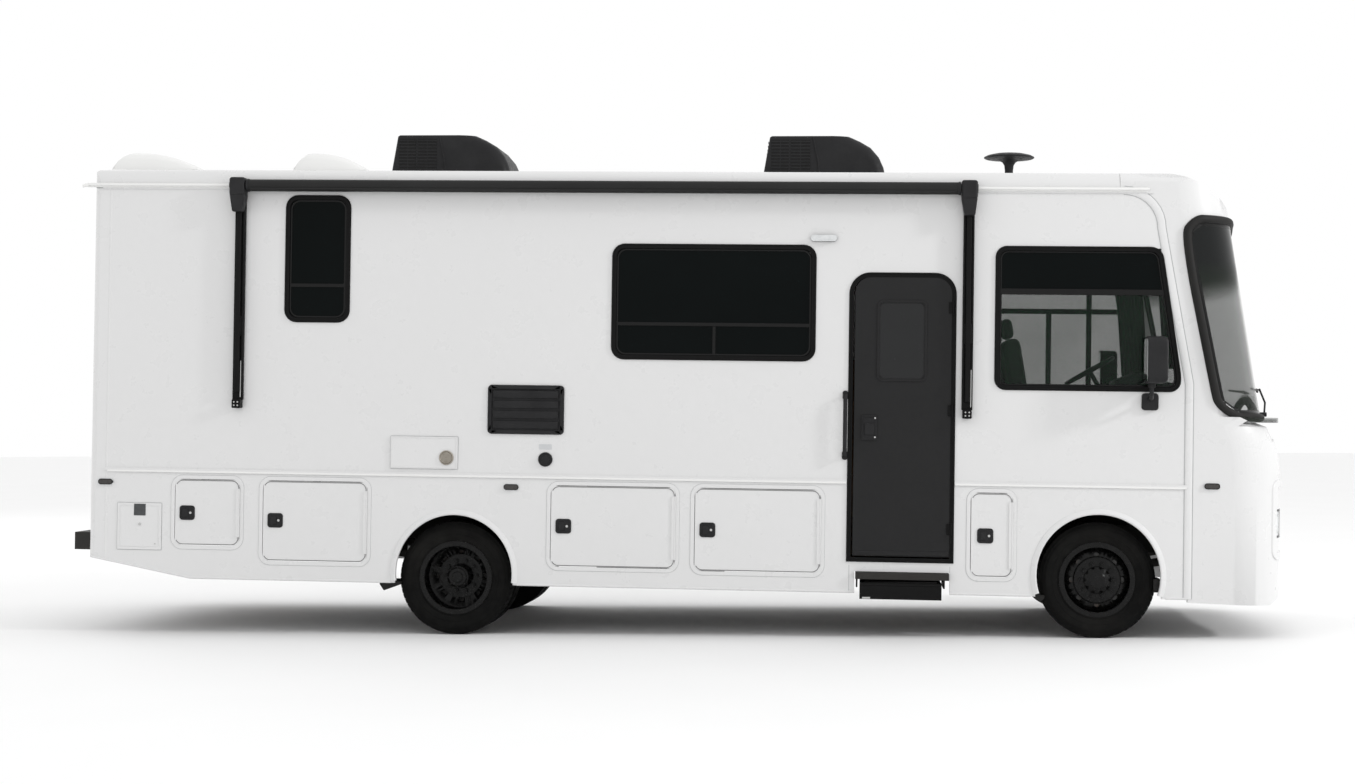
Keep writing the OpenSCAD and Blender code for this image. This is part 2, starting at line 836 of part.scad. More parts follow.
module mirrors() {
    color("black") on_body() for (s = [-1, 1]) {
        x0 = seam_x - 330;
        // arm foot on the wall, stem and head
        block(x0, x0 + 120, s < 0 ? -half_width - 30 : half_width,
              s < 0 ? -half_width : half_width + 30, 1665, 1785);
        rod_y(x0 + 60, s < 0 ? -half_width - 150 : half_width + 20,
              s < 0 ? -half_width - 20 : half_width + 150, 1750, 16);
        translate([x0 + 60, s * (half_width + 135), 1735]) cylinder(r = 16, h = 130);
        translate([x0 + 10, s * (half_width + 150), 0]) rotate([90, 0, 90])
            linear_extrude(145) rounded(-105, 1850, 105, 2174, 40);
    }
}

module lamps() {
    color("lightgray") on_body() {
        for (s = [-1, 1]) {
            intersection() {
                headlamp_zone(s);
                difference() {
                    front_solid(2);
                    front_solid(cap_thick);
                }
            }
            // tail lamps
            block(back_x - 6, back_x + 24, s * tail_lamp_y - 75, s * tail_lamp_y + 75,
                  760, 1080);
            // side marker lamps
            for (m = [[rear_seam_x - 60, 1052], [342, 1062], [seam_x + 103, 1150]])
                side_sheet(s, -12, 12) rounded(m[0], m[1] - 23, m[0] + 110, m[1] + 23, 12);
        }
        // porch lamp by the entry door
        side_sheet(-1, -30, 30) rounded(door_x0 - 273, 2822, door_x0 - 91, 2866, 20);
    }
}

// ---------------------------------------------------------------- chassis
rail_x0 = back_x + cap_thick + 10;
rail_top = rail_bottom + rail_depth;

module rail(s)
    difference() {
        block(rail_x0, seam_x + 380, s < 0 ? -rail_spacing / 2 : rail_spacing / 2 - 70,
              s < 0 ? -rail_spacing / 2 + 70 : rail_spacing / 2, rail_bottom,
              rail_top);
        block(rail_x0 - 1, seam_x + 381, s < 0 ? -rail_spacing / 2 + 8 : rail_spacing / 2 - 71,
              s < 0 ? -rail_spacing / 2 + 71 : rail_spacing / 2 - 8, rail_bottom + 8,
              rail_top - 8);
    }

web_inner = rail_spacing / 2 - 8;

module frame_rails() {
    color("black") on_body() for (s = [-1, 1]) rail(s);
}

// cross members between the webs of the rails
module frame_cross_members() {
    color("black") on_body()
        for (x = [back_x + 120, -1300, 640, 2200, front_hub_x - 1040, seam_x + 320])
            block(x, x + 60, -web_inner, web_inner, rail_top - 90, rail_top - 8);
}

// beams under the floor, on posts from the rails
module floor_outriggers() {
    color("black") on_body()
        for (x = [back_x + 300, -1480, rear_hub_x - housing_half - 70,
                  rear_hub_x + housing_half + 20, mid_start + mid_length + 46,
                  mid_end + 60, door_x1 + 40, front_hub_x + front_housing_half + 20]) {
            block(x, x + 50, -half_width + 60, half_width - 60, floor_bottom - 50, floor_bottom);
            for (s = [-1, 1])
                block(x, x + 50, s * (web_inner - 30) - 25, s * (web_inner - 30) + 25,
                      rail_top, floor_bottom - 50);
        }
}

module drivetrain() {
    color("gray") on_body() {
        block(front_hub_x - 60, front_hub_x + 700, -290, 290, 620, 1020);
        block(front_hub_x - 760, front_hub_x - 60, -170, 170, 560, 900);
        rod_x(rear_hub_x + 260, front_hub_x - 760, 0, 560, 45);
    }
}

module front_axle() {
    color("dimgray") on_ground() translate([wheelbase, 0, tyre_radius]) {
        block(-35, 35, -kingpin_y + 62, kingpin_y - 62, -70, 10);
        for (s = [-1, 1]) {
            y = s * kingpin_y;
            difference() {
                union() {
                    translate([0, y, -34]) cylinder(r = 34, h = 68);
                    block(-35, 35, s < 0 ? y : y - 70, s < 0 ? y + 70 : y, -34, 10);
                }
                translate([0, y, -70]) cylinder(r = kingpin_r + 0.05, h = 140);
            }
        }
    }
}

module rear_axle() {
    color("dimgray") on_ground() translate([0, 0, tyre_radius]) {
        rod_y(0, -inner_tyre_y + 10, inner_tyre_y - 10, 0, 60);
        sphere(r = 190);
        rod_x(150, 262, 0, 0, 70);
    }
}

module leaf_pack(x, z, reach) {
    // curved leaves resting on the axle
    for (s = [-1, 1])
        sheet(s * (rail_spacing / 2 + 52) - 38, 76)
            intersection() {
                translate([x, z + 3200]) difference() {
                    circle(r = 3200, $fn = 720);
                    circle(r = 3146, $fn = 720);
                }
                translate([x - reach, z - 10]) square([2 * reach, 300]);
            }
}

module leaf_springs() {
    color("black") on_ground() {
        leaf_pack(0, tyre_radius + 60, 720);
        leaf_pack(wheelbase, tyre_radius + 10, 640);
    }
}

module underfloor_tanks() {
    color("dimgray") on_body() {
        block(rear_hub_x - 1580, rear_hub_x - 700, -370, 370, 480, 630);
        block(900, 1850, -400, -100, 400, 620);
        block(900, 1850, 100, 340, 400, 620);
    }
}

module exhaust_pipe() {
    color("silver") on_body() {
        rod_x(2300, front_hub_x - 200, 330, 520, 35);
        rod_x(1960, 2300, 330, 520, 100);
        rod_x(rear_hub_x + housing_half + 130, 1960, 330 + 60, 450, 32);
        rod_y(rear_hub_x + housing_half + 130, 330 + 60, half_width - 180, 450, 32);
    }
}

// ---------------------------------------------------------------- wheels
bead_half = tyre_width * 0.39;

module tyre_ring()
    // one tyre about the Y axis, centred on y = 0
    rotate([90, 0, 0]) rotate_extrude() {
        w = tyre_width / 2;
        r0 = rim_radius - 6;
        difference() {
            union() {
                translate([r0, -bead_half]) square([tyre_radius - r0 - 60, 2 * bead_half]);
                translate([r0 + 50, -w]) square([tyre_radius - r0 - 92, 2 * w]);
                translate([tyre_radius - 90, -w * 0.86]) square([90, w * 1.72]);
                for (s = [-1, 1])
                    translate([tyre_radius - 60, s * (w - 24)]) circle(r = 24);
            }
            translate([r0 - 1, -w * 0.62]) square([tyre_radius - r0 - 24, w * 1.24]);
        }
    }

// drop-free barrel with a flange outside each tyre bead, drawn for rotate_extrude
module rim_section() {
    w = bead_half + 11;
    translate([rim_radius - 22, -w]) square([15, 2 * w]);
    for (s = [-1, 1])
        translate([rim_radius - 22, s > 0 ? w - 10 : -w]) square([36, 10]);
}

module tyre_pair(s, pair) {
    translate([0, s * outer_tyre_y, tyre_radius]) tyre_ring();
    if (pair) translate([0, s * inner_tyre_y, tyre_radius]) tyre_ring();
}

module front_tyre_right() color("black") on_ground() translate([wheelbase, 0, 0]) tyre_pair(-1, false);

module front_tyre_left() color("black") on_ground() translate([wheelbase, 0, 0]) tyre_pair(1, false);

module rear_tyres_right() color("black") on_ground() tyre_pair(-1, true);

module rear_tyres_left() color("black") on_ground() tyre_pair(1, true);

module front_rim(s)
    translate([wheelbase, s * outer_tyre_y, tyre_radius]) {
        // rotate_extrude runs along -Y, so the disc sits outboard for the right side
        mirror([0, s < 0 ? 0 : 1, 0]) {
            difference() {
                rotate([90, 0, 0]) rotate_extrude() {
                    rim_section();
                    polygon([[spindle_r + 5, 96], [150, 96], [rim_radius - 15, 40],
                             [rim_radius - 15, 26], [150, 80], [spindle_r + 5, 80]]);
                }
                for (i = [0 : 7])
                    rotate([0, i * 45, 0]) translate([172, 0, 0])
                        rotate([90, 0, 0]) cylinder(r = 20, h = 200, center = true);
            }
            // hub with its bearing bore
            rotate([90, 0, 0]) difference() {
                cylinder(r = 64, h = 112);
                translate([0, 0, -1]) cylinder(r = spindle_r + 5, h = 47);
            }
        }
    }

module front_rim_right() color("black") on_ground() front_rim(-1);

module front_rim_left() color("black") on_ground() front_rim(1);

module rear_rims(s)
    translate([0, 0, tyre_radius]) mirror([0, s < 0 ? 0 : 1, 0]) {
        // outer wheel is dished inwards, inner wheel outwards, discs meeting between them
        meet = -(outer_tyre_y + inner_tyre_y) / 2;
        for (y = [-outer_tyre_y, -inner_tyre_y])
            translate([0, y, 0]) rotate([90, 0, 0]) rotate_extrude() rim_section();
        difference() {
            translate([0, meet, 0]) rotate([90, 0, 0]) rotate_extrude() {
                q = dual_spacing / 2 - bead_half + 6;
                translate([70, -14]) square([110, 28]);
                for (e = [-1, 1])
                    polygon([[150, e * 1], [150, e * 14], [rim_radius - 15, e * (q + 14)],
                             [rim_radius - 15, e * q]]);
            }
            for (i = [0 : 7])
                rotate([0, i * 45, 0]) translate([172, meet, 0])
                    rotate([90, 0, 0]) cylinder(r = 20, h = 200, center = true);
        }
        translate([0, meet + 30, 0]) rotate([90, 0, 0]) cylinder(r = 70, h = 130);
    }

module rear_rims_right() color("black") on_ground() rear_rims(-1);

module rear_rims_left() color("black") on_ground() rear_rims(1);

module knuckle(s)
    translate([wheelbase, s * kingpin_y, tyre_radius]) {
        // kingpin, fork and stub axle
        translate([0, 0, -60]) cylinder(r = kingpin_r, h = 120);
        for (z = [-62, 40]) translate([0, 0, z]) cylinder(r = 34, h = 22);
        block(-34, 34, s < 0 ? -62 : 40, s < 0 ? -40 : 62, -62, 62);
        rod_y(0, s < 0 ? -190 : 40, s < 0 ? -40 : 190, 0, spindle_r);
        for (z = [-62, 40])
            block(-30, 30, s < 0 ? -50 : 0, s < 0 ? 0 : 50, z, z + 22);
    }

module steering_knuckle_right() color("gray") on_ground() knuckle(-1);

module steering_knuckle_left() color("gray") on_ground() knuckle(1);

// ---------------------------------------------------------------- cab and cabin
module dashboard() {
    color("dimgray") on_body() {
        sheet(-half_width + 170, body_width - 340)
            polygon([[seam_x - 130, floor_top], [seam_x + 230, floor_top],
                     [seam_x + 340, 1600], [seam_x + 300, 1680], [seam_x - 60, 1860],
                     [seam_x - 190, 1880], [seam_x - 230, 1830], [seam_x - 200, 1640]]);
    }
}

wheel_x = front_hub_x + 120;
wheel_y = 560;
wheel_z = 1985;
wheel_tilt = 30;

module steering_wheel() {
    color("black") on_body() translate([wheel_x, wheel_y, wheel_z]) rotate([0, 180 - wheel_tilt, 0]) {
        rotate_extrude() translate([205, 0]) circle(r = 14);
        cylinder(r = 45, h = 40, center = true);
        for (a = [0, 120, 240]) rotate([0, 0, a]) block(30, 205, -14, 14, -6, 6);
        cylinder(r = 18, h = 190);
    }
}

module seat(y) {
    x = front_hub_x - 560;
    block(x, x + 500, y - 260, y + 260, floor_top + 370, floor_top + 500);
    translate([x, y - 260, floor_top + 480]) rotate([0, -10, 0]) cube([120, 520, 690]);
    block(x + 80, x + 400, y - 150, y + 150, floor_top, floor_top + 370);
}

module cab_seats() {
    color("tan") on_body() for (y = [-640, 640]) seat(y);
}

module cabin_furniture() {
    color("burlywood") on_body() {
        // bed across the back
        block(back_x + 60, -1250, -900, 900, floor_top, floor_top + 550);
        // galley on the left, sofa base on the right
        block(1500, 3000, inner_half - 620, inner_half - 2, floor_top, floor_top + 900);
        block(1000, door_x0 - 120, -inner_half + 2, -inner_half + 620, floor_top,
              floor_top + 430);
    }
}

frame_rails();
frame_cross_members();
floor_outriggers();
drivetrain();
front_axle();
rear_axle();
leaf_springs();
underfloor_tanks();
exhaust_pipe();
floor();
wheel_housings();
storage_bays();
right_wall();
left_wall();
right_skirt();
left_skirt();
roof();
rear_cap();
front_cap();
windshield();
window_frames();
window_glass();
roof_air_conditioners();
roof_vent_covers();
roof_antenna();
awning_roller();
awning_arms();
rear_bumper();
mirrors();
lamps();
entry_door_frame();
step_housing();
dashboard();
cab_seats();
cabin_furniture();
steering_knuckle_right();
steering_knuckle_left();
front_tyre_right();
front_tyre_left();
front_rim_right();
front_rim_left();
rear_tyres_right();
rear_tyres_left();
rear_rims_right();
rear_rims_left();
steering_wheel();
entry_door();
entry_step();
locker_door_right_1();
locker_door_right_2();
locker_door_right_3();
locker_door_right_4();
locker_door_right_5();
locker_door_left_1();
locker_door_left_2();
locker_door_left_3();
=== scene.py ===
"""Finishes, trim and fittings of a family motorhome, laid out as an add-on."""

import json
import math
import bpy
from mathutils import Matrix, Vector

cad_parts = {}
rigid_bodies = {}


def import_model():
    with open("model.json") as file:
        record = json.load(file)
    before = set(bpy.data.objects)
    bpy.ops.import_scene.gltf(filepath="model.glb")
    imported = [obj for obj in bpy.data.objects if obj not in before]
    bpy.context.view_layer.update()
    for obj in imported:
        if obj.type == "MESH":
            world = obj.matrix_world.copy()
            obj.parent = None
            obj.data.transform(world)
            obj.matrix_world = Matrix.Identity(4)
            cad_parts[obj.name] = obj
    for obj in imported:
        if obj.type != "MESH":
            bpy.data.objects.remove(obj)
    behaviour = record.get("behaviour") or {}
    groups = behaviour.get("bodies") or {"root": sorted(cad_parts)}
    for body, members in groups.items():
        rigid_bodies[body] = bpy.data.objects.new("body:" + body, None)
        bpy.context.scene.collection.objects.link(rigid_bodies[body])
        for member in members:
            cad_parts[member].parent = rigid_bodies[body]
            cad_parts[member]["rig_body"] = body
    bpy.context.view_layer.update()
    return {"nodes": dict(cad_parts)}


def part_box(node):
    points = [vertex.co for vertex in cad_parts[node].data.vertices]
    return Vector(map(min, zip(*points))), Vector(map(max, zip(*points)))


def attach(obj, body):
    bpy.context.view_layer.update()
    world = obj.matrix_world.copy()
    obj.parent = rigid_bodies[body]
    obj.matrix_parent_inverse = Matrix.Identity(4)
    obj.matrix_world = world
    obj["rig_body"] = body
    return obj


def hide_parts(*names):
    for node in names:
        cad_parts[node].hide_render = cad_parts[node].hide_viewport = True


bl_info = {
    "name": "Motorhome Finish",
    "version": (1, 0, 0),
    "blender": (4, 5, 0),
    "location": "3D View > Sidebar > Motorhome",
    "description": "Builds the visible surfaces, trim and fittings of a motorhome",
    "category": "Object",
}

import bmesh
import bpy
from bpy.props import FloatProperty, FloatVectorProperty, IntProperty, PointerProperty
from mathutils import Matrix, Vector

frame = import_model()

RIGHT, LEFT = -1, 1
SIDES = (RIGHT, LEFT)


# ------------------------------------------------------------------ places
def middle(node):
    """Centre of a node's box."""
    low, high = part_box(node)
    return (low + high) / 2


# Body sizes are in the raked body frame: X forward from the rear axle, Y left, Z up
RAKE = math.radians(1.0)
REAR_HUB = middle("rear_tyres_right")
FRONT_HUB = middle("front_tyre_right")
BODY = Matrix.Translation((REAR_HUB.x, 0.0, 0.0)) @ Matrix.Rotation(RAKE, 4, "Y")
WORLD = Matrix()


def turn_by(degrees, axis):
    """A turn about one axis."""
    return Matrix.Rotation(math.radians(degrees), 4, axis)



TYRE_RADIUS = REAR_HUB.z
TYRE_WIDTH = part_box("front_tyre_right")[1].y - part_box("front_tyre_right")[0].y
OUTER_TYRE = -FRONT_HUB.y
INNER_TYRE = 2 * -REAR_HUB.y - OUTER_TYRE

SKIN = 1.2825
WALL = 0.050
BACK = -2.690
REAR_SEAM = -2.560
SEAM = 5.1202
ROOF_SEAM = 4.632
NOSE = 5.8832
DRIP = 3.191
BELT = 1.133
ROOF = 3.319
SKIRT_BOTTOM = 0.366
FLOOR = 1.150
FRONT_AXLE = 4.5132
REAR_AXLE = -0.0071
REAR_ARCH = (REAR_AXLE, 0.438, 0.425)
FRONT_ARCH = (FRONT_AXLE, 0.517, 0.430)

DOOR = (2.7712, 0.582, 3.5182, 2.608)
SLAB = (2.8132, 0.624, 3.4902, 2.578)
SLAB_FACE = 0.008
STEP = (2.868, 3.437)

# start, end and lower edge of each luggage door; they all end at one height
LOCKER_TOP = 1.076
LOCKERS = (
    (-2.044, -1.574, 0.608),
    (-1.397, -0.6441, 0.507),
    (0.686, 1.5656, 0.509),
    (1.7086, 2.5882, 0.499),
    (3.6362, 3.9192, 0.496),
)
LEFT_LOCKERS = (1, 2, 3)
LOCKER_LATCHES = (0.838, 0.795, 0.792, 0.785, 0.780)


def rect(x0, z0, x1, z1):
    """Corners of an upright rectangle on a side wall."""
    return ((x0, z0), (x1, z0), (x1, z1), (x0, z1))


def inset(corners, by):
    """The same convex outline moved in by a distance, or out by a negative one."""
    points = [Vector(c) for c in corners]
    moved = []
    for before, here, after in zip(points[-1:] + points[:-1], points, points[1:] + points[:1]):
        a = (here - before).normalized()
        b = (after - here).normalized()
        normal_a, normal_b = Vector((-a.y, a.x)), Vector((-b.y, b.x))
        bisector = (normal_a + normal_b).normalized()
        moved.append(tuple(here + bisector * (by / bisector.dot(normal_a))))
    return tuple(moved)


BEDROOM = rect(-1.268, 2.216, -0.790, 3.130)
LIVING = rect(1.095, 1.977, 2.540, 2.798)
GALLEY = rect(2.861, 2.240, 3.411, 2.798)
CAB = ((3.783, 1.795), (5.062, 1.795), (5.062, 1.915), (4.9263, 2.800), (3.783, 2.800))
CAB_BAR = 2.483
REAR_WINDOW = rect(-0.480, 1.900, 0.480, 2.420)


def on_side(side):
    """Puts a part drawn on the XZ plane, facing -Y, on the skin of one side."""
    return Matrix.Diagonal((1.0, -side, 1.0, 1.0)) @ Matrix.Translation((0.0, -SKIN, 0.0))


ON_BACK = Matrix.Translation((BACK, 0.0, 0.0)) @ turn_by(-90, "Z")


# ------------------------------------------------------------------ mesh parts
def rounded(part, geom, by, segments, affect="EDGES"):
    """Rounds edges or corners."""
    if by > 0:
        bmesh.ops.bevel(
            part,
            geom=geom,
            offset=by,
            offset_type="OFFSET",
            segments=segments,
            profile=0.5,
            affect=affect,
            material=-1,
        )
    return part


def flat(corners, radius, steps=6):
    """One upright face with rounded corners; the radius may differ from corner to corner."""
    part = bmesh.new()
    verts = [part.verts.new((x, 0.0, z)) for x, z in corners]
    part.faces.new(verts)
    if not hasattr(radius, "__len__"):
        return rounded(part, verts, radius, steps, "VERTICES")
    for vert, by in zip(verts, radius):
        rounded(part, [vert], by, steps, "VERTICES")
    return part


def pushed(part, by):
    """Extrudes every face of a flat part along Y."""
    grown = bmesh.ops.extrude_face_region(part, geom=list(part.faces))
    moved = [g for g in grown["geom"] if isinstance(g, bmesh.types.BMVert)]
    bmesh.ops.translate(part, verts=moved, vec=(0.0, by, 0.0))
    bmesh.ops.recalc_face_normals(part, faces=list(part.faces))
    return part


def thicken(part, inner, outer):
    """Pushes flat faces out into a solid between two distances from the skin."""
    bmesh.ops.translate(part, verts=part.verts, vec=(0.0, -inner, 0.0))
    return pushed(part, inner - outer)


def rim_band(part, width):
    """Keeps only an even band along the rim of flat faces."""
    made = bmesh.ops.inset_region(
        part, faces=list(part.faces), thickness=width, use_even_offset=True, use_boundary=True
    )
    band = set(made["faces"])
    bmesh.ops.delete(part, geom=[f for f in part.faces if f not in band], context="FACES")
    return part


def round_rim(part, outer, by, segments=2):
    """Rounds the edges that lie on the outer face."""
    rim = [
        e
        for e in part.edges
        if all(abs(v.co.y + outer) < 1e-6 for v in e.verts)
        and any(abs(f.normal.y) < 0.5 for f in e.link_faces)
    ]
    return rounded(part, rim, by, segments)


def plate(corners, radius, inner, outer, rounding=0.0, steps=6):
    """A solid plate that stands between two distances from the skin."""
    part = thicken(flat(corners, radius, steps), inner, outer)
    return round_rim(part, outer, rounding) if rounding else part


def ring(corners, radius, width, inner, outer, rounding=0.0, steps=6):
    """A flat frame of even width."""
    part = thicken(rim_band(flat(corners, radius, steps), width), inner, outer)
    return round_rim(part, outer, rounding) if rounding else part


def bead(points, radius, closed=False, sides=3):
    """A round bead along a path."""
    curve = bpy.data.curves.new("bead", "CURVE")
    curve.dimensions = "3D"
    curve.bevel_depth = radius
    curve.bevel_resolution = sides
    curve.use_fill_caps = True
    spline = curve.splines.new("POLY")
    spline.points.add(len(points) - 1)
    for knot, point in zip(spline.points, points):
        knot.co = (*point, 1.0)
    spline.use_cyclic_u = closed
    line = bpy.data.objects.new("bead", curve)
    mesh = bpy.data.meshes.new_from_object(line)
    part = bmesh.new()
    part.from_mesh(mesh)
    bpy.data.objects.remove(line)
    bpy.data.curves.remove(curve)
    bpy.data.meshes.remove(mesh)
    bmesh.ops.remove_doubles(part, verts=part.verts, dist=1e-6)
    return part


def outline_points(corners, radius, out=0.0, steps=6):
    """Points round a rounded outline, at a distance out from the skin."""
    part = flat(corners, radius, steps)
    points = [(v.co.x, -out, v.co.z) for v in next(iter(part.faces)).verts]
    part.free()
    return points


def block(low, high, rounding=0.0, segments=2):
    """A box between two corners with rounded edges."""
    part = bmesh.new()
    bmesh.ops.create_cube(part, size=1.0)
    size = [b - a for a, b in zip(low, high)]
    bmesh.ops.scale(part, vec=size, verts=part.verts)
    bmesh.ops.translate(part, vec=(Vector(low) + Vector(high)) / 2, verts=part.verts)
    return rounded(part, list(part.edges), rounding, segments)


def rod(start, end, radius, tip=None, sides=24, rounding=0.0):
    """A round bar, or a cone when the tip has another radius."""
    start, end = Vector(start), Vector(end)
    part = bmesh.new()
    bmesh.ops.create_cone(
        part,
        cap_ends=True,
        segments=sides,
        radius1=radius,
        radius2=radius if tip is None else tip,
        depth=(end - start).length,
    )
    if rounding:
        rims = [e for e in part.edges if any(len(f.verts) > 4 for f in e.link_faces)]
        rounded(part, rims, rounding, 2)
    turn = (end - start).to_track_quat("Z", "Y").to_matrix().to_4x4()
    bmesh.ops.transform(part, matrix=Matrix.Translation((start + end) / 2) @ turn, verts=part.verts)
    return part


def turned(profile, steps=48, closed=False):
    """A profile of (radius, out) pairs turned about the Y axis; out points to -Y."""
    part = bmesh.new()
    verts = [part.verts.new((r, -out, 0.0)) for r, out in profile]
    pairs = list(zip(verts, verts[1:])) + ([(verts[-1], verts[0])] if closed else [])
    edges = [part.edges.new(pair) for pair in pairs]
    bmesh.ops.spin(
        part,
        geom=verts + edges,
        cent=(0.0, 0.0, 0.0),
        axis=(0.0, 1.0, 0.0),
        angle=math.tau,
        steps=steps,
        use_merge=True,
    )
    bmesh.ops.remove_doubles(part, verts=part.verts, dist=1e-5)
    return part


def swept_arc(profile, centre, radius, start, end, steps=32):
    """A closed (across, out) profile carried round an arc on the side wall."""
    part = bmesh.new()
    verts = [part.verts.new((radius + across, -out, 0.0)) for across, out in profile]
    face = part.faces.new(verts)
    turn = Matrix.Rotation(-start, 3, "Y")
    bmesh.ops.rotate(part, verts=part.verts, cent=(0, 0, 0), matrix=turn)
    bmesh.ops.spin(
        part,
        geom=[face, *face.edges, *face.verts],
        cent=(0.0, 0.0, 0.0),
        axis=(0.0, 1.0, 0.0),
        angle=start - end,
        steps=steps,
        use_duplicate=False,
    )
    bmesh.ops.translate(part, verts=part.verts, vec=(centre[0], 0.0, centre[1]))
    return part


class Piece:
    """A mesh under construction, which ends as one finished object."""

    def __init__(self, name, place=BODY):
        self.name = name
        self.place = place
        self.mesh = bmesh.new()

    def add(self, part, place=None, close=True):
        """Joins a part, moved by a matrix; its faces are turned outwards."""
        if place is not None:
            part.transform(place)
        if close:
            bmesh.ops.recalc_face_normals(part, faces=list(part.faces))
        elif place is not None and place.determinant() < 0:
            bmesh.ops.reverse_faces(part, faces=list(part.faces))
        carrier = bpy.data.meshes.new("part")
        part.to_mesh(carrier)
        part.free()
        self.mesh.from_mesh(carrier)
        bpy.data.meshes.remove(carrier)
        return self

    def finish(self, material, body="chassis", replaces=(), smooth=32.0):
        """Makes the object, with its place in its mesh."""
        self.mesh.transform(self.place)
        data = bpy.data.meshes.new(self.name)
        self.mesh.to_mesh(data)
        self.mesh.free()
        data.shade_smooth()
        data.set_sharp_from_angle(angle=math.radians(smooth))
        made = bpy.data.objects.new(self.name, data)
        bpy.context.scene.collection.objects.link(made)
        data.materials.append(material)
        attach(made, body)
        if replaces:
            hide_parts(*replaces)
        even = made.modifiers.new("even_normals", "WEIGHTED_NORMAL")
        even.keep_sharp = True
        return made


def node_body(node):
    """The body that a CAD node rides on."""
    return frame["nodes"][node]["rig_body"]


def softened(node, material, width=0.003, segments=2, angle=35.0, name=None):
    """A merged copy of a CAD node with its sharp edges rounded, which stands for it."""
    piece = Piece(name or node + "_finish", WORLD)
    piece.mesh.from_mesh(frame["nodes"][node].data)
    bmesh.ops.remove_doubles(piece.mesh, verts=piece.mesh.verts, dist=1e-5)
    bmesh.ops.dissolve_limit(
        piece.mesh,
        angle_limit=math.radians(0.4),
        verts=piece.mesh.verts,
        edges=piece.mesh.edges,
        use_dissolve_boundaries=False,
    )
    made = piece.finish(material, node_body(node), (node,), smooth=angle)
    if width:
        made.modifiers.clear()
        bevel = made.modifiers.new("edges", "BEVEL")
        bevel.width = width
        bevel.segments = segments
        bevel.limit_method = "ANGLE"
        bevel.angle_limit = math.radians(angle)
        bevel.harden_normals = False
        bevel.use_clamp_overlap = True
        made.modifiers.new("even_normals", "WEIGHTED_NORMAL").keep_sharp = True
    return made


def dress(node, material):
    """Gives a CAD node a finish and leaves its shape alone."""
    for held in frame["nodes"][node].material_slots:
        held.material = material


# ------------------------------------------------------------------ finishes
class Value:
    """A shader output that Python arithmetic extends with Math nodes."""

    def __init__(self, shader, socket):
        self.shader = shader
        self.socket = socket

    def _math(self, operation, *others):
        inputs = {i: o for i, o in enumerate((self, *others))}
        return self.shader.node("Math", {"operation": operation}, inputs)

    def __add__(self, other):
        return self._math("ADD", other)

    def __mul__(self, other):
        return self._math("MULTIPLY", other)

    def wave(self):
        return self._math("SINE")

    __radd__ = __add__
    __rmul__ = __mul__


class Shader:
    """A node material built on one Principled surface."""

    def __init__(self, name, **constant):
        self.material = bpy.data.materials.new(name)
        self.material.use_nodes = True
        self.tree = self.material.node_tree
        self.surface = self.tree.nodes["Principled BSDF"]
        self.coordinates = None
        for key, value in constant.items():
            self.set(key.replace("_", " "), value)

    def node(self, kind, settings=None, inputs=None, output=0):
        made = self.tree.nodes.new("ShaderNode" + kind)
        for key, value in (settings or {}).items():
            setattr(made, key, value)
        for key, value in (inputs or {}).items():
            self._feed(made.inputs[key], value)
        return Value(self, made.outputs[output])

    def _feed(self, socket, value):
        if isinstance(value, Value):
            self.tree.links.new(value.socket, socket)
        elif hasattr(value, "__len__") and len(value) == 3 and socket.type == "RGBA":
            socket.default_value = (*value, 1.0)
        else:
            socket.default_value = value

    def set(self, socket, value):
        self._feed(self.surface.inputs[socket], value)

    def place(self):
        """Object coordinates, in metres."""
        if self.coordinates is None:
            self.coordinates = self.node("TexCoord", output="Object")
        return self.coordinates

    def colour(self, fac, first, second):
        self.set("Base Color", self.mix(fac, first, second))

    def gloss(self, fac, low, high):
        """Roughness that follows the middle of a noise."""
        self.set("Roughness", self.ramp(fac, low, high, 0.3, 0.7))

    def cells(self, scale):
        """Small pebbles or prisms."""
        return self.node("TexVoronoi", {"feature": "F1"}, {"Vector": self.place(), "Scale": scale})

    def axis(self, letter):
        """One coordinate as a number."""
        return self.node("SeparateXYZ", None, {0: self.place()}, output=letter)

    def noise(self, scale, detail=2.0, roughness=0.5, stretch=None):
        where = self.place()
        if stretch:
            where = self.node("Mapping", None, {"Vector": where, "Scale": stretch})
        return self.node(
            "TexNoise", None, {"Vector": where, "Scale": scale, "Detail": detail, "Roughness": roughness}
        )

    def ramp(self, fac, low, high, start=0.0, end=1.0):
        """A number that runs from low to high as fac runs from start to end."""
        return self.node(
            "MapRange",
            {"clamp": True},
            {"Value": fac, "From Min": start, "From Max": end, "To Min": low, "To Max": high},
        )

    def mix(self, fac, first, second):
        """A colour between two."""
        return self.node("Mix", {"data_type": "RGBA"}, {0: fac, 6: first, 7: second}, output=2)

    def bump(self, height, strength, distance):
        normal = self.node("Bump", None, {"Height": height, "Strength": strength, "Distance": distance})
        self.set("Normal", normal)


FINISHES = {}


def finish_of(**constant):
    """Keeps one material for each finish, with the constants of its surface."""

    def wrapped(make):
        def kept():
            name = make.__name__
            if name not in FINISHES:
                shader = Shader(name, **constant)
                make(shader)
                FINISHES[name] = shader.material
            return FINISHES[name]

        return kept

    return wrapped


def shades(colour, spread):
    """A darker and a lighter neighbour of a colour."""
    return [max(0.0, c * (1 - spread)) for c in colour], [min(1.0, c * (1 + spread)) for c in colour]


